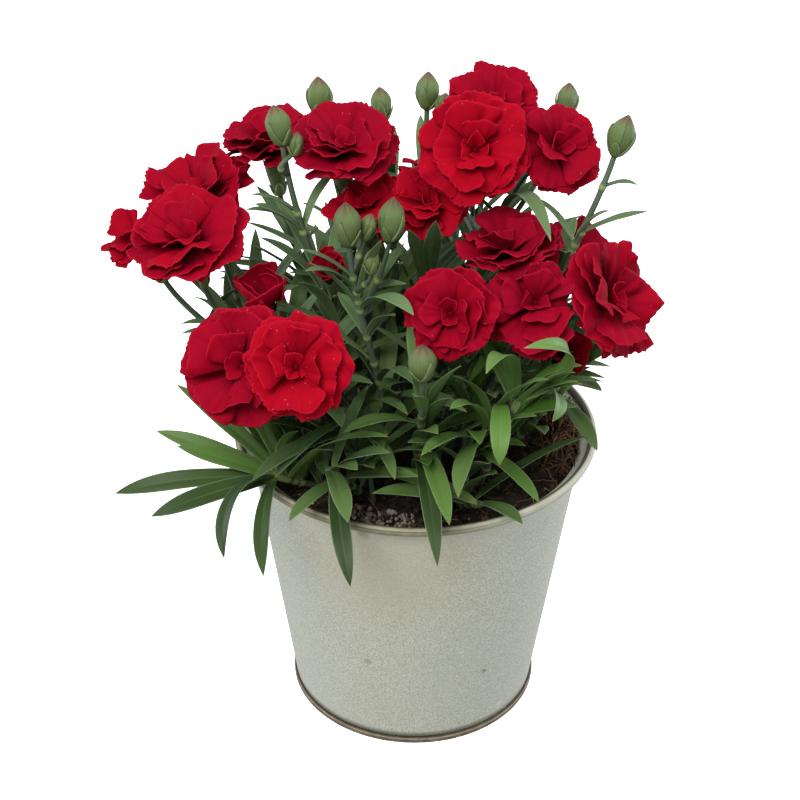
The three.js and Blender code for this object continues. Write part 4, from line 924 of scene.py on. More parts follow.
def add_calyx(mesh, head, tint):
    """A tube with twenty cosine ribs that widens upwards by its outline. Five teeth, a power of a cosine
    round it, rise and lean out at its mouth, where its wall turns inwards, and bracts clasp its foot."""
    place = axis_frame(head["axis"])
    angle = TAU * np.arange(HEAD_SIDES)[None] / HEAD_SIDES
    shares = np.array([0, 0.02, 0.1, 0.25, 0.4, 0.55, 0.7, 0.82, 0.9, 0.96, 1])[:, None]
    radius = np.interp(shares, CALYX_SHARES, CALYX_OUTLINE)
    tooth = np.abs(np.cos(2.5 * angle + tint)) ** 1.5
    rise = shares * CALYX_LENGTH * 0.86 + TOOTH_LENGTH * tooth * np.clip((shares - 0.7) / 0.3, 0, 1)
    lean = TOOTH_LEAN * tooth * np.clip((shares - 0.9) / 0.1, 0, 1)
    radius = radius * (1 + 0.018 * np.cos(20 * angle)) + lean
    outer = place(head["foot"], radius, angle, rise)
    inner = place(head["foot"], radius[:1:-1] - CALYX_WALL, angle, rise[:1:-1] - 0.02)
    rings = np.concatenate([outer, inner])
    heights = np.concatenate([shares, shares[:1:-1]])
    look = flat_look(rings.shape[:2], heights, tooth, tint, CALYX_AGE)
    add_rings(mesh, rings, look, grain_of(rings, angle * 3, heights * CALYX_LENGTH), GREEN_BUD)
    reach = lambda h: np.interp(h / CALYX_LENGTH, CALYX_SHARES, CALYX_OUTLINE)
    add_bracts(mesh, head, tint * 5, 0.5, (5.5, 7.5), 4.4, reach, 0.25, tint)


# A bud's radius, as a share of its fattest, against height: one with a long point, and one with a blunt tip.
BUD_HEIGHTS = [0, 0.03, 0.12, 0.3, 0.5, 0.68, 0.82, 0.92, 0.97, 1]
POINTED_BUD = np.array([0.24, 0.38, 0.54, 0.81, 0.95, 0.84, 0.54, 0.27, 0.13, 0.03])
BLUNT_BUD = np.array([0.24, 0.38, 0.56, 0.84, 0.97, 0.89, 0.64, 0.36, 0.18, 0.04])


def add_bud(mesh, head, tint):
    """A spindle by its outline, with twenty fine cosine ribs, whose tip closes in five lips: folds that
    deepen with the cube of the height. Two pairs of bracts clasp its foot."""
    place = axis_frame(head["axis"])
    angle = TAU * np.arange(HEAD_SIDES)[None] / HEAD_SIDES
    length, fat = head["length"], head["width"] / 2
    shares = np.array([0, 0.03, 0.1, 0.2, 0.32, 0.44, 0.56, 0.66, 0.75, 0.83, 0.9, 0.95, 0.98, 1])[:, None]
    outline = fat * mix(POINTED_BUD, BLUNT_BUD, tint)
    radius = np.interp(shares, BUD_HEIGHTS, outline)
    fold = np.cos(5 * angle + 3 * tint)
    radius = radius * (1 + (0.02 + 0.1 * shares**3) * fold + 0.014 * np.cos(20 * angle))
    rings = place(head["foot"], radius, angle, shares * length)
    look = flat_look(rings.shape[:2], shares, 0.5 - 0.5 * fold, tint, BUD_AGE)
    add_rings(mesh, rings, look, grain_of(rings, angle * fat, shares * length), GREEN_BUD)
    reach = lambda h: np.interp(h / length, BUD_HEIGHTS, outline)
    add_bracts(mesh, head, tint * 6, 0.4, (0.46 * length, 0.72 * length), 0.95 * fat, reach, 0.2, tint)


def green_piece(plan, materials):
    """A stem with its side shoots, leaves, calyces and buds, which grew as one."""
    mesh = Mesh()
    draw = name_draws(plan["name"], 7, 5)
    joints = sorted({round(leaf["share"], 2) for leaf in plan["leaves"]})
    for i, path in enumerate(plan["paths"]):
        radius = BRANCH_RADIUS if i else STEM_RADIUS
        add_stem(mesh, path, radius, [0.5] if i else joints, draw())
    for leaf in plan["leaves"]:
        add_leaf(mesh, leaf)
    for head in plan["heads"]:
        (add_calyx if head["name"] in BLOOMS else add_bud)(mesh, head, draw())
    mesh.piece(plan["name"] + "_green", materials, plan["name"])


# ---- petals -----------------------------------------------------------------------------------------------

PETAL_THICKNESS = 0.32
PETAL_EDGE = 0.025
# Rows and columns of a petal, and of a small one in a bloom's heart.
PETAL_GRID = (12, 27)
HEART_GRID = (9, 15)
# Shares of a petal's length by which its edge is cut in teeth, shallower and deeper, and in wide lobes.
TOOTH_DEPTH = 0.034
TOOTH_CHANGE = 0.024
LOBE_DEPTH = 0.06
# How bright a bloom's red is, where it isn't the common one.
COMMON_BRIGHTNESS = 0.45
BRIGHT_BLOOMS = {
    "bloom_07": 0.95, "bloom_09": 0.95, "bloom_12": 0.9, "bloom_11": 0.8, "bloom_21": 0.7, "bloom_04": 0.6,
    "bloom_01": 0.3, "bloom_02": 0.25, "bloom_14": 0.1, "bloom_15": 0.1, "bloom_18": 0.2, "bloom_05": 0.3,
}


def add_petal(mesh, bloom, petal, draw, grid=PETAL_GRID):
    """A fan, q across it and v from claw to edge. A saw wave of uneven depth and a slow cosine shorten it
    towards its edge in teeth and lobes. Two sines across it make folds that deepen with v, a power of the
    distance from a line makes a crease in some, and the rim curls back with the square of v. A bloom that is
    less open is calmer."""
    rows, columns = grid
    inner = 1 - PETAL_EDGE
    q = np.concatenate([[-1], np.linspace(-inner, inner, columns - 2), [1]])[None]
    v = np.concatenate([inner * np.linspace(0, 1, rows - 1) ** 0.85, [1]])[:, None]
    phase, teeth = TAU * draw(), 9 + int(4 * draw())
    saw = np.abs(((q * teeth / 2 + phase) % 1) - 0.5) * 2
    depth = TOOTH_DEPTH + TOOTH_CHANGE * np.sin(5 * q + 9 * phase)
    lobes = LOBE_DEPTH * np.cos((2.6 + 2 * draw()) * q + phase)
    calm = min(1, 0.15 + BLOOMS[bloom["name"]]["opening"])
    s = v * (1 - (depth * saw + lobes) * calm * v**3)
    fold = np.sin((4 + 3 * draw()) * q + phase) + 0.45 * np.sin((9 + 5 * draw()) * q - 2 * phase)
    crease = np.abs(q - 0.6 * (draw() - 0.5)) ** 0.7 * (0.16 * draw() if draw() < 0.45 else 0)
    ripple = petal["half"] * (0.085 * fold * v**1.8 + crease * v + 0.016 * np.sin(19 * q + 3 * phase) * v**5)
    curl = -petal["half"] * (0.9 * draw() - 0.1) * np.clip(v - 0.6, 0, 1) ** 2
    middle = petal_point(bloom, petal, s, q, (ripple + curl) * calm)
    normal = np.cross(np.gradient(middle, axis=1), np.gradient(middle, axis=0))
    normal /= np.linalg.norm(normal, axis=2, keepdims=True) + 1e-9
    tint = BRIGHT_BLOOMS.get(bloom["name"], COMMON_BRIGHTNESS) + 0.3 * (draw() - 0.5)
    look = flat_look(middle.shape[:2], v, q * 0.5 + 0.5, tint, petal["layer"] / 2)
    grain = grain_of(middle, petal_half_width(petal, s) * q, s * petal["length"])
    add_blade(mesh, middle, normal * PETAL_THICKNESS / 2, look, grain)


# How petals fan out from their claws: an open bloom's planned ones, those between, and a half-open bloom's.
PLANNED_FAN, BETWEEN_FAN, CUPPED_FAN = 1.6, 1.2, 1.3
# How much further out than its neighbours a petal between them opens, in the outer and the middle ring.
BETWEEN_OPENING = (0.13, -0.12)
# An outer petal stands in each stretch of gap this wide, in radians; a middle one in this share of the gaps.
OUTER_GAP = 1.3
MIDDLE_CHANCE = 0.3


def between_petals(bloom, draw):
    """Petals spread over the gaps of the planned outer and middle rings, a little lower than the planned
    ones, each between its neighbours in angle and opening with drawn changes of its own."""
    for layer in (0, 1):
        ring = sorted((p for p in bloom["petals"] if p["layer"] == layer), key=lambda p: p["azimuth"] % TAU)
        for a, b in zip(ring, ring[1:] + ring[:1]):
            gap = (b["azimuth"] - a["azimuth"]) % TAU or TAU
            count = int(draw() < MIDDLE_CHANCE) if layer else max(1, round(gap / OUTER_GAP))
            for i in range(count):
                share = (i + 1 + 0.3 * (draw() - 0.5)) / (count + 1)
                opened = mix(a["to"], b["to"], share) + BETWEEN_OPENING[layer] + 0.16 * (draw() - 0.5)
                yield {
                    **a, "azimuth": a["azimuth"] + gap * share, "from": a["from"] + 0.08, "to": opened,
                    "length": max(a["length"], b["length"]) * (0.84 + 0.16 * draw()),
                    "half": max(a["half"], b["half"]) * (0.86 + 0.2 * draw()), "root": a["root"] - 0.4,
                    "wave": 0.1 + 0.12 * draw(), "phase": TAU * draw(), "fan": BETWEEN_FAN,
                }


# A bloom less open than this is a closed cup of its planned petals alone.
HALF_OPEN = 0.5


def cupped(petal, opening):
    """A petal of a half-open bloom, which starts flat enough to swell out low down and is turned upright or
    inwards at its top, the more so the less it is open."""
    changes = {"from": 1.15, "to": 1.6 * opening - 0.75, "cup": 0.3, "wave": 0.5 * petal["wave"]}
    return {**petal, **changes, "fan": CUPPED_FAN}


HEART_PETALS = 3


def heart_petals(facts, draw):
    """Small folded petals that fill the middle of a bloom, inside the planned ones."""
    length = 0.5 * facts["radius"]
    for i in range(HEART_PETALS):
        start = 0.1 + 0.25 * draw()
        azimuth = TAU * (i + 0.5 * draw()) / HEART_PETALS
        yield {
            "azimuth": azimuth, "from": start, "to": start + 0.35 + 0.6 * draw(),
            "length": length * (0.75 + 0.4 * draw()), "half": length * (0.3 + 0.12 * draw()), "root": 3,
            "roll": 0.5 * (draw() - 0.5), "cup": 0.5 + 0.4 * draw(), "wave": 0.25 * draw(),
            "phase": TAU * draw(), "layer": 2,
        }


# Heights above a calyx's mouth, and radii there, of the spindle in a bloom's middle.
SPINDLE_HEIGHTS = np.array([-1.6, 0.5, 3, 5.5, 7.5])[:, None]
SPINDLE_RADII = np.array([0.9, 3.2, 2.6, 1.5, 0.4])[:, None]
SPINDLE_SIDES = 12


def bloom_piece(bloom, material):
    """A bloom: its planned petals, those between them, a heart of small ones, and the spindle that they
    spring from, turned by its outline."""
    mesh = Mesh()
    draw = name_draws(bloom["name"], 11, 3)
    facts = BLOOMS[bloom["name"]]
    if facts["opening"] < HALF_OPEN:
        for petal in bloom["petals"]:
            add_petal(mesh, bloom, cupped(petal, facts["opening"]), draw)
    else:
        planned = [{**petal, "fan": PLANNED_FAN} for petal in bloom["petals"]]
        for petal in planned + list(between_petals(bloom, draw)):
            add_petal(mesh, bloom, petal, draw)
        for petal in heart_petals(facts, draw):
            add_petal(mesh, bloom, petal, draw, HEART_GRID)
    angle = TAU * np.arange(SPINDLE_SIDES)[None] / SPINDLE_SIDES
    radius, heights = SPINDLE_RADII + 0 * angle, SPINDLE_HEIGHTS + 0 * angle
    rings = axis_frame(bloom["axis"])(bloom["mouth"], radius, angle, heights)
    # The spindle's look places it at the claw of an inner layer, so it takes the heart's painted shade.
    add_rings(mesh, rings, flat_look(rings.shape[:2], 0.05, 0.5, 0.5, 1), grain_of(rings, angle, heights))
    mesh.piece(bloom["name"] + "_petals", [material], bloom["name"])


# ---- pot --------------------------------------------------------------------------------------------------

POT_SIDES = 224
WALL_ROWS = 40
BEAD_ROWS = 40
PLATE = 1.2
# The smallest radius of a turned face, which closes it but for a hole no eye finds.
POLE = 0.01
# Marks of the foot ring's painted highlight line and its seam in painted shade, which its paint reads.
RING_LINE, RING_SEAM = 0.41, 0.3


def add_turned(mesh, profile, look=(0, 0, 0, 0), paint=0):
    """A closed profile of (radius, height) turned about the pot's axis."""
    profile = np.asarray(profile, float)
    rows, sides = len(profile), POT_SIDES
    angle = TAU * np.arange(sides) / sides
    look = np.repeat(np.broadcast_to(look, (rows, 4)), sides, 0)
    points = np.stack([
        np.outer(profile[:, 0], np.cos(angle)), np.outer(profile[:, 0], np.sin(angle)),
        np.repeat(profile[:, 1:], sides, 1),
    ], -1)
    index = np.arange(rows * sides).reshape(rows, sides)
    index = np.concatenate([index, index[:, :1]], 1)
    index = np.concatenate([index, index[:1]])
    grain = grain_of(points, angle * RIM_RADIUS, profile[:, 1:])
    mesh.add(points.reshape(-1, 3), grid_faces(index), look, grain.reshape(-1, 2), paint)


def arc(centre, radius, start, end, count):
    """Points of a circle's arc from one angle to another, in degrees."""
    angle = np.radians(np.linspace(start, end, count))
    return [(centre[0] + radius * cos(a), centre[1] + radius * sin(a)) for a in angle]


def pot_wall_piece(sheet_metal, bead_metal):
    """A straight tapered wall, creased where it flares under the bead, and turned back a sheet's thickness
    further in. The bead is an arc with its own worn paint, which also holds a painted highlight and painted
    shade: its look's first number runs round it from its underside over the top to the inside."""
    foot = FOOT_RADIUS - WALL_INSET
    lip = BEAD_CENTRE - 0.8 * BEAD_RADIUS
    wall = [(mix(foot, HEAD_RADIUS, t), mix(WALL_FOOT, WALL_HEAD, t)) for t in np.linspace(0, 1, WALL_ROWS)]
    crease = [(HEAD_RADIUS + 0.25, WALL_HEAD + 0.45), (HEAD_RADIUS + 0.85, WALL_HEAD + 0.9)]
    fold = [(lip, WALL_HEAD + 1.5), (lip + 0.2, WALL_HEAD + 2.7), (lip - 0.6, WALL_HEAD + 2)]
    inner = [(r - SHEET, z + 0.2) for r, z in reversed(wall[1:] + crease)]
    mesh = Mesh()
    add_turned(mesh, wall + crease + fold + inner + [(foot - SHEET, WALL_FOOT)])
    bead = arc((BEAD_CENTRE, POT_HEIGHT - BEAD_RADIUS), BEAD_RADIUS, -150, 195, BEAD_ROWS)
    add_turned(mesh, bead, flat_look((BEAD_ROWS,), np.linspace(0, 1, BEAD_ROWS), 1), 1)
    mesh.piece("pot_wall_metal", [sheet_metal, bead_metal], "pot_wall")


def pot_base_piece(metal):
    """The foot: a flat plate in a ring of two arcs, a narrow one at the ground and a rolled one over it,
    behind which the wall is crimped in. Its look's first number marks the ring's painted highlight line and
    its seam in painted shade."""
    side = arc((FOOT_RADIUS - 0.4, 0.4), 0.4, -80, 0, 5)
    outer = [(POLE, 0), (FOOT_RADIUS - 0.45, 0)] + side
    roll = arc((FOOT_RADIUS - 0.75, 1.95), 0.75, -15, 150, 9) + [(FOOT_RADIUS - 1.9, 1.9)]
    plate = [(FOOT_RADIUS - 2.6, 1.6), (FOOT_RADIUS - 3, PLATE), (POLE, PLATE)]
    marks = [0.0] * len(outer) + [RING_LINE] * 3 + [RING_SEAM] * (len(roll) - 3) + [0.0] * len(plate)
    mesh = Mesh()
    add_turned(mesh, outer + roll + plate, flat_look((len(marks),), np.array(marks)))
    mesh.piece("pot_base_metal", [metal], "pot_base")


# ---- soil -------------------------------------------------------------------------------------------------


SOIL_SEED, ROOT_SEED, LARGE_WAVE_SEED, SMALL_WAVE_SEED = 41, 43, 7, 8
SOIL_RINGS = 84
SOIL_SIDES = 200
SOIL_CLEARANCE = 0.4
SOIL_SINK = 0.5
WAVES = 18


def ripples(x, y, seed, shortest, longest):
    """Uneven ground: a sum of waves with drawn directions, lengths and phases, from about -1 to 1."""
    draws = np.random.default_rng(seed)
    total = 0
    for _ in range(WAVES):
        length, way, phase = draws.uniform(shortest, longest), draws.uniform(0, TAU), draws.uniform(0, TAU)
        total = total + np.sin(TAU * (x * cos(way) + y * sin(way)) / length + phase)
    return total / sqrt(WAVES)


# Heights of a crumb's rings, and the points of a ring.
CRUMB_RINGS = np.array([-0.7, -0.25, 0.3, 0.75])[:, None]
CRUMB_SIDES = 6


def add_crumb(mesh, spot, size, draws, kind, tint):
    """A lump: rings of a ball with drawn radii and heights, turned and flattened at random."""
    shape = (len(CRUMB_RINGS), CRUMB_SIDES)
    angle = TAU * np.arange(CRUMB_SIDES) / CRUMB_SIDES
    radius = np.sqrt(1 - CRUMB_RINGS**2) * draws.uniform(0.65, 1.2, shape)
    height = CRUMB_RINGS + draws.uniform(-0.15, 0.15, shape)
    rings = np.stack([radius * np.cos(angle), radius * np.sin(angle), height], -1)
    turn = np.linalg.qr(draws.normal(size=(3, 3)))[0]
    if np.linalg.det(turn) < 0:
        turn[:, 0] *= -1
    rings = spot + size * rings @ turn.T * draws.uniform(0.6, 1, 3)
    add_rings(mesh, rings, flat_look(shape, kind, 0, tint), grain_of(rings, 0.0, 0.0), 1)


def ring_spot(draws, inner, outer, angles=(0, 360)):
    """A drawn place on the soil, even over the ground between two radii and two bearings in degrees."""
    r, angle = sqrt(draws.uniform(inner**2, outer**2)), radians(draws.uniform(*angles))
    x, y = r * cos(angle), r * sin(angle)
    return np.array([x, y, soil_height(x, y)])


def scatter(mesh, draws, count, inner, outer, size, kind, tint=(0, 1), lift=(0,), angles=(0, 360)):
    """Crumbs on the soil, their place, size, kind and tint drawn between two values. Their height over it is
    one value or drawn between two."""
    for _ in range(count):
        spot = ring_spot(draws, inner, outer, angles)
        spot[2] += draws.uniform(*lift) if len(lift) > 1 else lift[0]
        add_crumb(mesh, spot, draws.uniform(*size), draws, draws.uniform(*kind), draws.uniform(*tint))


def soil_piece(peat, grit):
    """Peat from the plate to the top, a disc of rings raised by two ripples and fine noise that calm down to
    the wall, with crumbs of peat and bark and bits of perlite on it, more of them at the front."""
    mesh = Mesh()
    draws = np.random.default_rng(SOIL_SEED)
    edge = wall_radius(SOIL_HEIGHT) - SHEET - SOIL_CLEARANCE
    radii = np.linspace(edge - 0.3, 0.4, SOIL_RINGS)[:, None]
    angle = TAU * np.arange(SOIL_SIDES)[None] / SOIL_SIDES
    x, y = radii * np.cos(angle), radii * np.sin(angle)
    calm = np.clip((edge - radii) / 3, 0, 1)
    rough = 0.7 * ripples(x, y, LARGE_WAVE_SEED, 7, 18) + 0.55 * ripples(x, y, SMALL_WAVE_SEED, 2.4, 6)
    rough = rough + draws.normal(0, 0.14, x.shape)
    top = np.stack([x, y, soil_height(x, y) + rough * calm - SOIL_SINK], -1)
    low = [(FOOT_RADIUS - 3.2, 1.7), (FOOT_RADIUS - 3.2, WALL_FOOT), (edge, SOIL_HEIGHT - 1)]
    sides = [np.stack([r * np.cos(angle[0]), r * np.sin(angle[0]), z + 0 * angle[0]], -1) for r, z in low]
    rings = np.concatenate([np.array(sides), top])
    add_rings(mesh, rings, flat_look(rings.shape[:2], 0.2), grain_of(rings, 0.0, 0.0))
    scatter(mesh, draws, 900, 20, edge - 1.5, size=(0.4, 1.6), kind=(0, 0.4))
    scatter(mesh, draws, 60, 30, edge - 1.5, size=(0.3, 0.8), kind=(0.7, 1), lift=(0.1,))
    scatter(mesh, draws, 220, 48, edge - 1.2, size=(0.3, 1.3), kind=(0.5, 1), tint=(0.45, 1), lift=(0.1, 1.5),
            angles=(-116, -90))
    mesh.piece("soil_peat", [peat, grit], "soil")


FIBRE_STEPS = 9
FIBRE_SIDES = 5


def add_fibre(mesh, start, heading, length, lift, draws, reach):
    """A thin root lying on the soil or over the rim, no further out than reach: its heading wanders in drawn
    steps, half a sine lifts it off the soil, and it thins to half its width."""
    way = heading + np.cumsum(draws.normal(0, 0.35, FIBRE_STEPS))
    line = start + np.cumsum(np.stack([np.cos(way), np.sin(way), 0 * way], -1) * length / FIBRE_STEPS, 0)
    far = np.hypot(line[:, 0], line[:, 1])
    line[:, :2] *= (np.minimum(far, reach) / far)[:, None]
    share = np.linspace(0, 1, FIBRE_STEPS)
    ground = soil_height(line[:, 0], line[:, 1])
    line[:, 2] = ground + 0.3 + lift * np.sin(pi * share) + draws.normal(0, 0.25, FIBRE_STEPS)
    width = draws.uniform(0.12, 0.34) * (1 - 0.5 * share)
    rings = tube_rings(line, width, FIBRE_SIDES)
    look = flat_look(rings.shape[:2], 0.5, 1, draws.uniform())
    add_rings(mesh, rings, look, grain_of(rings, 0.0, 0.0))


LOOSE_FIBRES = 90
TUFT_FIBRES = 110


def roots_piece(fibre):
    """Dry root fibres: loose ones all round, and a tuft that leans on the rim at the right."""
    mesh = Mesh()
    draws = np.random.default_rng(ROOT_SEED)
    edge = HEAD_RADIUS - SHEET
    for _ in range(LOOSE_FIBRES):
        start = ring_spot(draws, 35, edge - 4)
        heading, length, lift = draws.uniform(0, TAU), draws.uniform(6, 18), draws.uniform(0.2, 2)
        add_fibre(mesh, start, heading, length, lift, draws, edge - 1)
    for _ in range(TUFT_FIBRES):
        start = ring_spot(draws, 50, edge - 3, (-22, 34))
        lift, heading, length = draws.uniform(2, 11), draws.uniform(-0.6, 1.9), draws.uniform(8, 18)
        add_fibre(mesh, start, heading, length, lift, draws, edge + 1)
    mesh.piece("soil_roots", [fibre], None)


# ---- materials --------------------------------------------------------------------------------------------


class Value:
    """A number in a material: a node's output, on which arithmetic adds Math nodes."""

    def __init__(self, paint, socket):
        self.paint, self.socket = paint, socket

    def maths(self, operation, a, b=0.0):
        """One Math node on one or two numbers."""
        return self.paint.node("Math", {"operation": operation}, {0: a, 1: b})

    def __add__(self, other):
        return self.maths("ADD", self, other)

    def __sub__(self, other):
        return self.maths("SUBTRACT", self, other)

    def __rsub__(self, other):
        return self.maths("SUBTRACT", other, self)

    def __mul__(self, other):
        return self.maths("MULTIPLY", self, other)

    def __pow__(self, other):
        return self.maths("POWER", self, other)

    __radd__ = __add__
    __rmul__ = __mul__

    def sine(self):
        """Its sine, from -1 to 1."""
        return self.maths("SINE", self)

    def size(self):
        """It without its sign."""
        return self.maths("ABSOLUTE", self)

    def step(self, low, high):
        """Rises smoothly from 0 at low to 1 at high; falls where low is the larger."""
        settings = {"interpolation_type": "SMOOTHSTEP", "clamp": True}
        ends = {"From Min": min(low, high), "From Max": max(low, high)}
        to = {"To Min": float(low > high), "To Max": float(low <= high)}
        return self.paint.node("MapRange", settings, {"Value": self, **ends, **to})


class Paint:
    """A Principled material under construction."""

    def __init__(self, name, **constants):
        self.material = bpy.data.materials.new(name)
        self.material.use_nodes = True
        self.tree = self.material.node_tree
        self.shader = self.tree.nodes["Principled BSDF"]
        for socket, value in constants.items():
            self.shader.inputs[socket.replace("_", " ")].default_value = value

    def node(self, kind, settings=None, inputs=None, output=0):
        """A node of a kind, its settings made first, then the values or links of its sockets."""
        node = self.tree.nodes.new("ShaderNode" + kind)
        for name, value in (settings or {}).items():
            setattr(node, name, value)
        for name, value in (inputs or {}).items():
            self.link(value, node.inputs[name])
        return Value(self, node.outputs[output])

    def link(self, value, socket):
        """Joins a value of the material to a socket, or sets the socket to a number, colour or vector."""
        if isinstance(value, Value):
            self.tree.links.new(value.socket, socket)
        elif isinstance(value, tuple) and len(value) == 3 and socket.type == "RGBA":
            socket.default_value = (*value, 1)
        else:
            socket.default_value = value

    def object_place(self):
        """Where a point lies on the object, in metres."""
        return self.node("TexCoord", output="Object")

    def surface_place(self):
        """A point's own place on its surface, in millimetres across and along."""
        return self.node("UVMap", {"uv_map": "grain"})

    def parts_of(self, vector):
        """A vector's three numbers."""
        return [self.node("SeparateXYZ", inputs={0: vector}, output=i) for i in range(3)]

    def looks(self):
        """The four numbers that each point of a piece carries."""
        colour = self.node("Attribute", {"attribute_name": "look"}, output="Color")
        alpha = self.node("Attribute", {"attribute_name": "look"}, output="Alpha")
        return [self.node("SeparateColor", inputs={0: colour}, output=i) for i in range(3)] + [alpha]

    def noise(self, place, scale, detail=2.0, roughness=0.5, stretch=None):
        """Soft noise from 0 to 1, its lumps about 1 / scale of the place's unit wide."""
        if stretch:
            place = self.node("Mapping", inputs={"Vector": place, "Scale": stretch})
        return self.node("TexNoise", inputs={
            "Vector": place, "Scale": scale, "Detail": detail, "Roughness": roughness})

    def dots(self, place, scale, width):
        """Scattered round spots: 1 in their middle, 0 from width out."""
        cells = self.node("TexVoronoi", inputs={"Vector": place, "Scale": scale}, output="Distance")
        return cells.step(width, 0.3 * width)

    def patch(self, centre, radius):
        """1 near a point of the object, in metres, 0 from radius out."""
        apart = self.node("VectorMath", {"operation": "DISTANCE"},
                          {0: self.object_place(), 1: centre}, output="Value")
        return apart.step(radius, 0.2 * radius)

    def tint(self, amount, below, above):
        """A colour from below to above as amount goes from 0 to 1."""
        mixer = self.tree.nodes.new("ShaderNodeMix")
        mixer.data_type = "RGBA"
        colours = [s for s in mixer.inputs if s.type == "RGBA"]
        self.link(amount, mixer.inputs["Factor"])
        self.link(below, colours[0])
        self.link(above, colours[1])
        return Value(self, next(s for s in mixer.outputs if s.type == "RGBA"))

    def finish(self, colour, roughness=None, height=None, depth=0.001, **links):
        """Joins the colour and roughness, and a height in shares of depth, in metres, as bumps."""
        self.link(colour, self.shader.inputs["Base Color"])
        if roughness is not None:
            self.link(roughness, self.shader.inputs["Roughness"])
        if height is not None:
            bump = self.node("Bump", inputs={"Height": height, "Distance": depth, "Strength": 1.0})
            self.link(bump, self.shader.inputs["Normal"])
        for name, value in links.items():
            self.link(value, self.shader.inputs[name])
        return self.material


# Colours are linear red, green and blue. Light that enters a green skin spreads by these shares of the scale.
GREEN_DEPTH = (0.4, 1.0, 0.2)
RED_DEPTH = (1.0, 0.1, 0.12)

LEAF_DARK, LEAF_LIGHT = (0.016, 0.031, 0.009), (0.114, 0.190, 0.053)
LEAF_HIGH_WAX_AND_LIGHT, LEAF_YOUNG, LEAF_WAX = (0.110, 0.158, 0.108), (0.105, 0.235, 0.022), (0.110, 0.165, 0.090)
LEAF_VEIN, LEAF_MIDRIB, LEAF_MARGIN = (0.15, 0.24, 0.12), (0.17, 0.27, 0.12), (0.22, 0.30, 0.17)
LEAF_CLASP, LEAF_DRY = (0.24, 0.33, 0.10), (0.30, 0.20, 0.09)


def leaf_paint():
    """From dark to light green by the leaf's tone, greyer with wax and lighter with painted light high on the
    plant, and yellower in young leaves.
    Over it lie patches of wax by noise, sine veins along the blade, a paler midrib and margin by the share
    across it, yellow-green where it clasps the stem, and a dry tip on the lighter leaves."""
    paint = Paint("leaf_skin", Specular_IOR_Level=0.18, Subsurface_Weight=0.06, Subsurface_Scale=0.0006,
                  Subsurface_Radius=GREEN_DEPTH)
    along, across, tone, youth = paint.looks()
    place, surface = paint.object_place(), paint.surface_place()
    side, _, _ = paint.parts_of(surface)
    _, _, height = paint.parts_of(place)
    patchy = paint.noise(place, 90, 3)
    veins = (side * 15 + 0.6 * paint.noise(surface, 0.5)).sine() * 0.5 + 0.5
    colour = paint.tint(tone, LEAF_DARK, LEAF_LIGHT)
    # Wax and painted light: high on the plant the green turns greyer and lighter.
    colour = paint.tint(height.step(0.130, 0.205) * 0.4, colour, LEAF_HIGH_WAX_AND_LIGHT)
    colour = paint.tint(youth, colour, LEAF_YOUNG)
    colour = paint.tint(patchy.step(0.4, 0.85) * 0.25 * tone, colour, LEAF_WAX)
    colour = paint.tint(veins * 0.08, colour, LEAF_VEIN)
    colour = paint.tint(across.step(0.12, 0.02) * along.step(1.0, 0.4) * 0.2, colour, LEAF_MIDRIB)
    colour = paint.tint(across.step(0.86, 0.98) * 0.6, colour, LEAF_MARGIN)
    colour = paint.tint(along.step(0.16, 0.02) * 0.75, colour, LEAF_CLASP)
    dry = along.step(0.965, 0.995) * tone.step(0.55, 0.7)
    colour = paint.tint(dry, colour, LEAF_DRY)
    roughness = patchy * 0.2 + 0.3 + veins * 0.05
    grain = veins * 0.5 + paint.noise(place, 700, 2) * 0.7
    return paint.finish(colour, roughness, grain, 0.00006)


STEM_DARK, STEM_LIGHT, STEM_WAX = (0.034, 0.058, 0.030), (0.078, 0.115, 0.070), (0.115, 0.155, 0.115)
STEM_JOINT, STEM_STRIPE = (0.26, 0.35, 0.12), (0.20, 0.28, 0.14)


def stem_paint():
    """From dark to light grey-green by the stem's tint, with patches of wax by noise, pale yellow-green where
    it swells at its joints, and faint sine stripes along it."""
    paint = Paint("stem_skin", Specular_IOR_Level=0.2, Subsurface_Weight=0.06, Subsurface_Scale=0.0006,
                  Subsurface_Radius=GREEN_DEPTH)
    _, swell, tint, _ = paint.looks()
    place, surface = paint.object_place(), paint.surface_place()
    side, _, _ = paint.parts_of(surface)
    patchy = paint.noise(place, 120, 3)
    colour = paint.tint(tint, STEM_DARK, STEM_LIGHT)
    colour = paint.tint(patchy.step(0.3, 0.8) * 0.4, colour, STEM_WAX)
    colour = paint.tint(swell.step(0.35, 0.9) * 0.85, colour, STEM_JOINT)
    stripes = (side * 9).sine() * 0.5 + 0.5
    colour = paint.tint(stripes * 0.15, colour, STEM_STRIPE)
    return paint.finish(colour, patchy * 0.2 + 0.42, stripes + patchy, 0.00005)


CALYX_GREEN, BUD_GREEN, BUD_WAX = (0.060, 0.088, 0.036), (0.078, 0.116, 0.038), (0.122, 0.176, 0.062)
BUD_RIB, BUD_BLUSH, BRACT_MARGIN = (0.22, 0.32, 0.115), (0.16, 0.035, 0.045), (0.24, 0.29, 0.13)


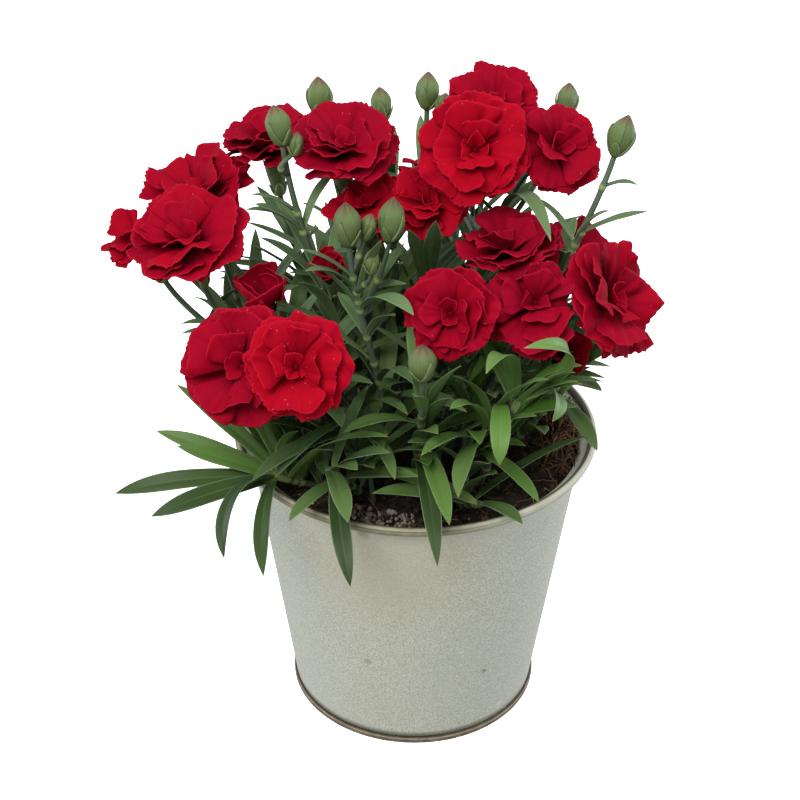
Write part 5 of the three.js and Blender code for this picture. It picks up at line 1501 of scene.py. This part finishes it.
def bud_paint():
    """Grey-green, darker on a calyx than on a bud or bract, which the look's last number tells apart, with
    patches of wax by noise and pale ribs by the square of a sine. A bud blushes maroon between the folds of
    its lips, and a bract has a pale margin."""
    paint = Paint("bud_skin", Specular_IOR_Level=0.25, Subsurface_Weight=0.08, Subsurface_Scale=0.0008,
                  Subsurface_Radius=GREEN_DEPTH)
    along, fold, _, age = paint.looks()
    place, surface = paint.object_place(), paint.surface_place()
    side, _, _ = paint.parts_of(surface)
    patchy = paint.noise(place, 160, 3)
    ribs = (side * 11).sine() * 0.5 + 0.5
    colour = paint.tint(age.step(CALYX_AGE, BUD_AGE), CALYX_GREEN, BUD_GREEN)
    colour = paint.tint(patchy.step(0.3, 0.75) * 0.5, colour, BUD_WAX)
    colour = paint.tint(ribs**2.0 * 0.5, colour, BUD_RIB)
    blush = along.step(0.72, 0.97) * age.step(0.3, 0.45) * age.step(0.56, 0.52)
    colour = paint.tint(blush * (fold * 0.6 + 0.3), colour, BUD_BLUSH)
    colour = paint.tint(age.step(0.55, BRACT_AGE) * fold.step(0.6, 1.0) * 0.6, colour, BRACT_MARGIN)
    return paint.finish(colour, patchy * 0.2 + 0.4, ribs * 0.8 + patchy, 0.00008)


PETAL_CLAW_PAINTED_SHADE, PETAL_RED, PETAL_HEART_PAINTED_SHADE = (0.075, 0.0006, 0.004), (0.262, 0.0012, 0.0126), (0.23, 0.0012, 0.011)
PETAL_CLOUD, PETAL_DEEP, PETAL_BRIGHT = (0.355, 0.0022, 0.0136), (0.19, 0.002, 0.016), (0.378, 0.0015, 0.009)
PETAL_VEIN, PETAL_RIM, PETAL_SPECK = (0.15, 0.001, 0.008), (0.62, 0.02, 0.05), (0.75, 0.3, 0.34)


def petal_paint():
    """Crimson velvet, darkened by painted shade at the claw and on the inner petals where the bloom's heart
    is shaded, and redder from there to the edge, deeper or brighter from bloom to bloom by its tint. Over
    it lie lighter clouds by noise, fine sine veins that fan out with the petal, a pale rim and a few pale
    specks."""
    paint = Paint("petal_velvet", Specular_IOR_Level=0.03, Subsurface_Weight=0.1, Subsurface_Scale=0.001,
                  Subsurface_Radius=RED_DEPTH)
    along, across, tint, layer = paint.looks()
    place = paint.object_place()
    cloud = paint.noise(place, 110, 3)
    veins = (across * 120 + 3 * cloud).sine() * 0.5 + 0.5
    # Painted shade: each petal is dark at its claw, and the inner layers darker still, as the shaded heart.
    colour = paint.tint(along.step(0.1, 0.75), PETAL_CLAW_PAINTED_SHADE, PETAL_RED)
    colour = paint.tint(layer * 0.25, colour, PETAL_HEART_PAINTED_SHADE)
    colour = paint.tint(cloud.step(0.45, 0.85) * 0.4, colour, PETAL_CLOUD)
    colour = paint.tint(tint.step(0.55, 0.0) * 0.55, colour, PETAL_DEEP)
    colour = paint.tint(tint.step(0.5, 1.0) * 0.5, colour, PETAL_BRIGHT)
    colour = paint.tint(veins * 0.1, colour, PETAL_VEIN)
    colour = paint.tint(along.step(0.95, 1.0) * 0.25, colour, PETAL_RIM)
    specks = paint.dots(place, 420, 0.09) * paint.noise(place, 60, 1).step(0.5, 0.65)
    colour = paint.tint(specks * 0.6, colour, PETAL_SPECK)
    height = veins * 0.15 + paint.noise(place, 1500, 2) * 0.6 + cloud * 1.2
    return paint.finish(colour, cloud * 0.2 + 0.6, height, 0.00009)


SHEET_DARK, SHEET_LIGHT, SHEET_STREAK = (0.385, 0.405, 0.318), (0.785, 0.803, 0.688), (0.52, 0.53, 0.40)
SHEET_CLOUD, SHEET_PAINTED_LIGHT, SHEET_STAIN = (0.57, 0.63, 0.57), (0.80, 0.80, 0.68), (0.56, 0.50, 0.35)
SHEET_WEAR = (0.20, 0.19, 0.13)
# Where the wall is stained, in metres, and its scuffs: middle, reach and colour.
POT_STAIN, STAIN_REACH = (-0.012, -0.058, 0.100), 0.045
POT_MARKS = (
    ((-0.0174, -0.0517, 0.0440), 0.0024, (0.33, 0.31, 0.22)),
    ((0.0276, -0.0454, 0.0345), 0.0018, (0.20, 0.11, 0.07)),
    ((0.0344, -0.0355, 0.0088), 0.0024, (0.80, 0.82, 0.79)),
    ((-0.0187, -0.0617, 0.1119), 0.0034, (0.33, 0.33, 0.22)),
)


def sheet_metal_paint():
    """Pale grey-green metallic paint: a fine noise of darker and lighter flecks, faint upright streaks and
    clouds of slower noise, a paler band below the bead that is painted light against the bead's shadow, a
    warm stain high at the front, worn dots in patches, and a few scuffs, each a round patch broken up by
    noise."""
    paint = Paint("pot_sheet_paint", Specular_IOR_Level=0.5, Coat_Weight=0.15, Coat_Roughness=0.25)
    place = paint.object_place()
    _, _, height = paint.parts_of(place)
    flecks = paint.noise(place, 1900, 2, 0.7)
    streaks = paint.noise(place, 60, 4, 0.6, stretch=(1, 1, 6))
    clouds = paint.noise(place, 22, 2)
    colour = paint.tint(flecks.step(0.3, 0.7), SHEET_DARK, SHEET_LIGHT)
    colour = paint.tint(streaks.step(0.4, 0.75) * 0.3, colour, SHEET_STREAK)
    colour = paint.tint(clouds.step(0.4, 0.8) * 0.25, colour, SHEET_CLOUD)
    # Painted light: the wall is paler just below the bead, where the bead's shadow falls.
    colour = paint.tint(height.step(0.100, 0.116) * 0.45, colour, SHEET_PAINTED_LIGHT)
    colour = paint.tint(paint.patch(POT_STAIN, STAIN_REACH) * 0.5, colour, SHEET_STAIN)
    wear = paint.dots(place, 190, 0.07) * paint.noise(place, 25, 1).step(0.5, 0.7)
    colour = paint.tint(wear * 0.7, colour, SHEET_WEAR)
    for centre, radius, mark in POT_MARKS:
        blot = paint.patch(centre, radius) * paint.noise(place, 900, 2).step(0.25, 0.55)
        colour = paint.tint(blot * 0.8, colour, mark)
    roughness = 0.36 + flecks * 0.14 + streaks * 0.06
    return paint.finish(colour, roughness, flecks + streaks * 0.5, 0.00005, Metallic=0.4)


OLIVE_DARK, OLIVE_LIGHT, OLIVE_PAINTED_LIGHT = (0.205, 0.195, 0.120), (0.290, 0.280, 0.185), (0.56, 0.57, 0.47)
RING_DARK, RING_LIGHT = (0.140, 0.100, 0.062), (0.290, 0.235, 0.150)
PAINTED_HIGHLIGHT, PAINTED_SHADE, PITTED = (0.50, 0.47, 0.35), (0.045, 0.038, 0.022), (0.05, 0.042, 0.026)


def bead_metal_paint():
    """Worn olive metal of the rolled edges, its wear by noise. Round the bead the look's first number passes
    a crease in painted shade, the olive back with a dark line of painted shade beside a painted highlight,
    and the inside in painted shade; the foot ring is brown, with a painted highlight line and a seam in
    painted shade. The look's second number tells bead from ring, and the bead is paler at the pot's right,
    painted light."""
    paint = Paint("pot_bead_paint", Specular_IOR_Level=0.35)
    band, bead, _, _ = paint.looks()
    place = paint.object_place()
    side, _, _ = paint.parts_of(place)
    wear = paint.noise(place, 260, 4, 0.65)
    ring = 1 - bead
    olive = paint.tint(wear.step(0.35, 0.7), OLIVE_DARK, OLIVE_LIGHT)
    # Painted light: the bead is made paler towards the pot's right, where light falls on it.
    paler = side.step(0.005, 0.045)
    olive = paint.tint(paler * 0.7, olive, OLIVE_PAINTED_LIGHT)
    brown = paint.tint(wear.step(0.35, 0.7), RING_DARK, RING_LIGHT)
    colour = paint.tint(bead, brown, olive)
    # Painted highlight: a light line along the foot ring's roll and along the bead's back, broken by wear.
    light = (band - 0.405).size().step(0.035, 0.01) * ring + (band - 0.6).size().step(0.06, 0.02) * bead
    colour = paint.tint(light * (wear * 0.5 + 0.1), colour, PAINTED_HIGHLIGHT)
    # Painted shade: a dark line on the bead's back, the crease under the bead, its inside and the ring's
    # seam.
    line = (band - 0.515).size().step(0.035, 0.01) * bead * (1 - paler * 0.7)
    seam = (band - RING_SEAM).size().step(0.06, 0.02) * ring
    dark = band.step(0.33, 0.3) * bead + band.step(0.665, 0.71) + seam
    colour = paint.tint(line * 0.5 + dark * 0.85, colour, PAINTED_SHADE)
    colour = paint.tint(paint.dots(place, 330, 0.14) * 0.5, colour, PITTED)
    return paint.finish(colour, 0.6 + wear * 0.2, wear, 0.0001, Metallic=0.25)


PEAT_DARK, PEAT_LIGHT, PEAT_DRY = (0.008, 0.006, 0.004), (0.036, 0.025, 0.015), (0.055, 0.038, 0.024)
BARK_DARK, BARK_LIGHT = (0.025, 0.016, 0.010), (0.075, 0.046, 0.026)
PERLITE_CLEAN, PERLITE_STAINED, PERLITE_PORE = (0.34, 0.31, 0.27), (0.20, 0.14, 0.10), (0.22, 0.2, 0.17)


def peat_paint(name, grit):
    """Dark crumbly peat by noise, drier in patches, or the grit on it, whose look's first number picks peat,
    bark or perlite, and whose third runs from dark to light bark and from clean to stained perlite."""
    paint = Paint(name, Specular_IOR_Level=0.25)
    kind, _, tint, _ = paint.looks()
    place = paint.object_place()
    lumps = paint.noise(place, 420, 4, 0.7)
    colour = paint.tint(lumps.step(0.3, 0.75), PEAT_DARK, PEAT_LIGHT)
    colour = paint.tint(paint.noise(place, 70, 2).step(0.5, 0.8) * 0.4, colour, PEAT_DRY)
    if grit:
        bark = paint.tint(tint, BARK_DARK, BARK_LIGHT)
        colour = paint.tint(kind.step(0.1, 0.35), colour, bark)
        perlite = paint.tint(tint.step(0.4, 0.9), PERLITE_CLEAN, PERLITE_STAINED)
        perlite = paint.tint(lumps * 0.5, perlite, PERLITE_PORE)
        colour = paint.tint(kind.step(0.6, 0.7), colour, perlite)
    return paint.finish(colour, 0.92, lumps, 0.0003 if grit else 0.0012)


FIBRE_BROWN, FIBRE_STRAW, FIBRE_WORN = (0.075, 0.032, 0.016), (0.300, 0.165, 0.085), (0.05, 0.025, 0.015)


def fibre_paint():
    """Dry root fibre, red-brown to straw by its tint, darker in patches by noise."""
    paint = Paint("root_fibre", Specular_IOR_Level=0.3)
    _, _, tint, _ = paint.looks()
    wear = paint.noise(paint.object_place(), 500, 2)
    colour = paint.tint(tint, FIBRE_BROWN, FIBRE_STRAW)
    colour = paint.tint(wear.step(0.4, 0.8) * 0.5, colour, FIBRE_WORN)
    return paint.finish(colour, 0.8)


# ---- more foliage than the solids hold --------------------------------------------------------------------

# The gap and sample radius of leaves that only the scene has, which may stand closer than solids.
FINE_CLEAR = 0.05
FINE_RADIUS = 0.8
# Shares at which more pairs stand, low and high on a flowering stem, on a leafy shoot, and on a short shoot.
LOW_SHARES = (0.1, 0.17, 0.24, 0.32, 0.4, 0.48)
HIGH_SHARES = (0.6, 0.72)
SHOOT_SHARES = (0.3, 0.45, 0.6, 0.7, 0.8, 0.9)
FILL_SHARES = (0.45, 0.62, 0.78, 0.97)
LOW_SIZE, HIGH_SIZE = 0.95, 0.7
LOW_SEED, HIGH_SEED, FILL_SEED, FILL_PAIR_SEED = 5000, 6000, 77, 7000
FILL_SHOOTS = 30


def fine_pairs(plan, shares, seed, size):
    """Leaf pairs that are tried in the quick choice of ways, at the scene's finer gap."""
    plan_pairs(plan, shares, seed, size, QUICK_CHOICE, FINE_CLEAR, FINE_RADIUS)


def plan_filling(stems):
    """Leaf pairs between the planned ones, and short leafy shoots that rise from the soil between the stems,
    spread evenly over it and leaning outwards, the outer ones shorter."""
    for i, plan in enumerate(stems):
        fine_pairs(plan, LOW_SHARES if plan["heads"] else SHOOT_SHARES, LOW_SEED + i, LOW_SIZE)
        if plan["heads"]:
            fine_pairs(plan, HIGH_SHARES, HIGH_SEED + i, HIGH_SIZE)
    draw = draws_from(FILL_SEED)
    shoots = []
    for i in range(FILL_SHOOTS):
        reach, angle = 8 + 46 * sqrt(draw()), TAU * draw()
        root = (reach * cos(angle), reach * sin(angle))
        lean = 1 + 0.35 * draw()
        tip = (root[0] * lean, root[1] * lean, SOIL_HEIGHT + 22 + 42 * draw() * (1 - reach / 90))
        plan = plan_stem(dict(name=f"fill_{i:02d}", tip=tip), root)
        fine_pairs(plan, FILL_SHARES, FILL_PAIR_SEED + i, LOW_SIZE)
        shoots.append(plan)
    return shoots


# Leaves whose tips hang lower than DROOPING are old and dark, darker also as painted shade where they hang
# low; those that reach over MIDDLE are lighter, partly painted light.
DROOPING, MIDDLE = 124, 150
OLD_SHADED_TONE, LOW_TONES, HIGH_TONES = 0.12, (0.05, 0.85), (0.35, 1)
# How young and yellow-green a stem's leaves are, where it isn't the common value.
COMMON_YOUTH = 0.1
YOUNG = {"shoot_05": 0.7, "stem_10": 0.85, "shoot_01": 0.35, "shoot_04": 0.4, "stem_20": 0.3, "stem_08": 0.6}


def set_youth(plans):
    """Gives each leaf its youth, its stem's with a drawn change, and its tone, drawn from dark to light by
    the
    height of its tip: darker low down and lighter high up, partly for age and partly as painted shade."""
    for plan in plans:
        draw = name_draws(plan["name"], 31, 9)
        for leaf in plan["leaves"]:
            # Painted shade in part: low and hanging leaves get darker tones, high ones lighter.
            old = leaf["tip"][2] < DROOPING
            leaf["youth"] = (0.2 if old else 1) * YOUNG.get(plan["name"], COMMON_YOUTH) * (0.5 + draw())
            tones = HIGH_TONES if leaf["tip"][2] > MIDDLE else LOW_TONES
            leaf["tone"] = OLD_SHADED_TONE * draw() if old else mix(*tones, draw())


def fill_piece(plans, materials):
    """The short leafy shoots between the stems, all in one piece."""
    mesh = Mesh()
    for plan in plans:
        shade = draws_from(len(plan["name"]) + len(plan["leaves"]) + 50)
        joints = sorted({leaf["share"] for leaf in plan["leaves"]})
        add_stem(mesh, plan["paths"][0], BRANCH_RADIUS, joints, shade())
        for leaf in plan["leaves"]:
            add_leaf(mesh, leaf)
    mesh.piece("fill_shoots_green", materials, None)


# ---- making the pieces ------------------------------------------------------------------------------------

BLOOM_PLANS, STEM_PLANS = plan_plant()
FILL_PLANS = plan_filling(STEM_PLANS)
set_youth(STEM_PLANS + FILL_PLANS)

greens = [leaf_paint(), stem_paint(), bud_paint()]
for plan in STEM_PLANS:
    green_piece(plan, greens)
fill_piece(FILL_PLANS, greens)

velvet = petal_paint()
for bloom in BLOOM_PLANS:
    bloom_piece(bloom, velvet)

bead_metal = bead_metal_paint()
pot_wall_piece(sheet_metal_paint(), bead_metal)
pot_base_piece(bead_metal)
soil_piece(peat_paint("peat_ground", False), peat_paint("peat_grit", True))
roots_piece(fibre_paint())

# ---- floor, light and camera ------------------------------------------------------------------------------

# In metres, watts and degrees turned to radians. The side lights are low and bluish.
FLOOR_REACH = 6.0
FLOOR_GLOW = 1.0
DOME_STRENGTH = 0.5
WHITE = (1, 1, 1)
SIDE_TINT = (0.88, 0.95, 1.12)
PLANT_MIDDLE, POT_MIDDLE = (0, 0, 0.15), (0, 0, 0.06)
VIEW_PLACE = (0.0, -0.5842, 0.5005)
VIEW_PITCH, VIEW_YAW, VIEW_ROLL = radians(32.34), radians(-0.60), radians(-0.29)
VIEW_LENS = 81.0


def floor():
    """A flat square sheet, bright enough to read as paper lit from all round."""
    data = bpy.data.meshes.new("floor")
    r = FLOOR_REACH
    data.from_pydata([(-r, -r, 0), (r, -r, 0), (r, r, 0), (-r, r, 0)], [], [(0, 1, 2, 3)])
    obj = bpy.data.objects.new("floor", data)
    bpy.context.scene.collection.objects.link(obj)
    paint = Paint("floor_paper", Roughness=0.9, Specular_IOR_Level=0.1, Emission_Strength=FLOOR_GLOW)
    paint.shader.inputs["Emission Color"].default_value = (*WHITE, 1)
    data.materials.append(paint.finish((0.9, 0.9, 0.9)))
    obj.visible_diffuse = obj.visible_glossy = False


def placed(right, above, back, place):
    """The matrix that puts an object at a place, with its own axes turned to three directions."""
    return Matrix([(*row, p) for row, p in zip(np.stack([right, above, back], 1), place)] + [(0, 0, 0, 1)])


def soft_box(name, place, size, watts, aim=PLANT_MIDDLE, colour=WHITE):
    """A square soft light, turned so that its back points away from a point of the plant."""
    lamp = bpy.data.lights.new(name, "AREA")
    lamp.shape, lamp.size, lamp.energy, lamp.color = "SQUARE", size, watts, colour
    obj = bpy.data.objects.new(name, lamp)
    bpy.context.scene.collection.objects.link(obj)
    way = unit(np.subtract(aim, place))
    level, across = frame_about(way)
    obj.matrix_world = placed(level, -across, -way, place)


def dome():
    """An even white sky all round."""
    world = bpy.data.worlds.new("white_room")
    world.use_nodes = True
    sky = world.node_tree.nodes["Background"].inputs
    sky["Color"].default_value = (*WHITE, 1)
    sky["Strength"].default_value = DOME_STRENGTH
    bpy.context.scene.world = world


def view_camera():
    """A level camera pitched down to the plant, with small turns about the vertical and its own axis."""
    ahead = np.array([sin(VIEW_YAW) * cos(VIEW_PITCH), cos(VIEW_YAW) * cos(VIEW_PITCH), -sin(VIEW_PITCH)])
    level = np.array([cos(VIEW_YAW), -sin(VIEW_YAW), 0])
    upright = np.cross(level, ahead)
    right = cos(VIEW_ROLL) * level - sin(VIEW_ROLL) * upright
    above = sin(VIEW_ROLL) * level + cos(VIEW_ROLL) * upright
    camera = bpy.data.cameras.new("view")
    camera.lens, camera.sensor_width, camera.sensor_fit = VIEW_LENS, 36, "HORIZONTAL"
    camera.clip_start, camera.clip_end = 0.05, 50
    obj = bpy.data.objects.new("view", camera)
    bpy.context.scene.collection.objects.link(obj)
    obj.matrix_world = placed(right, above, -ahead, VIEW_PLACE)
    bpy.context.scene.camera = obj


floor()
dome()
soft_box("key_light", (-0.35, -0.75, 1.05), 0.6, 15)
soft_box("top_light", (0.45, 0.1, 1.2), 0.8, 7)
soft_box("left_light", (-0.8, 0.3, 0.08), 0.5, 4.5, POT_MIDDLE, SIDE_TINT)
soft_box("right_light", (0.8, 0.3, 0.08), 0.5, 6, POT_MIDDLE, SIDE_TINT)
view_camera()
bpy.context.scene.view_settings.view_transform = "Standard"
bpy.context.scene.view_settings.look = "None"
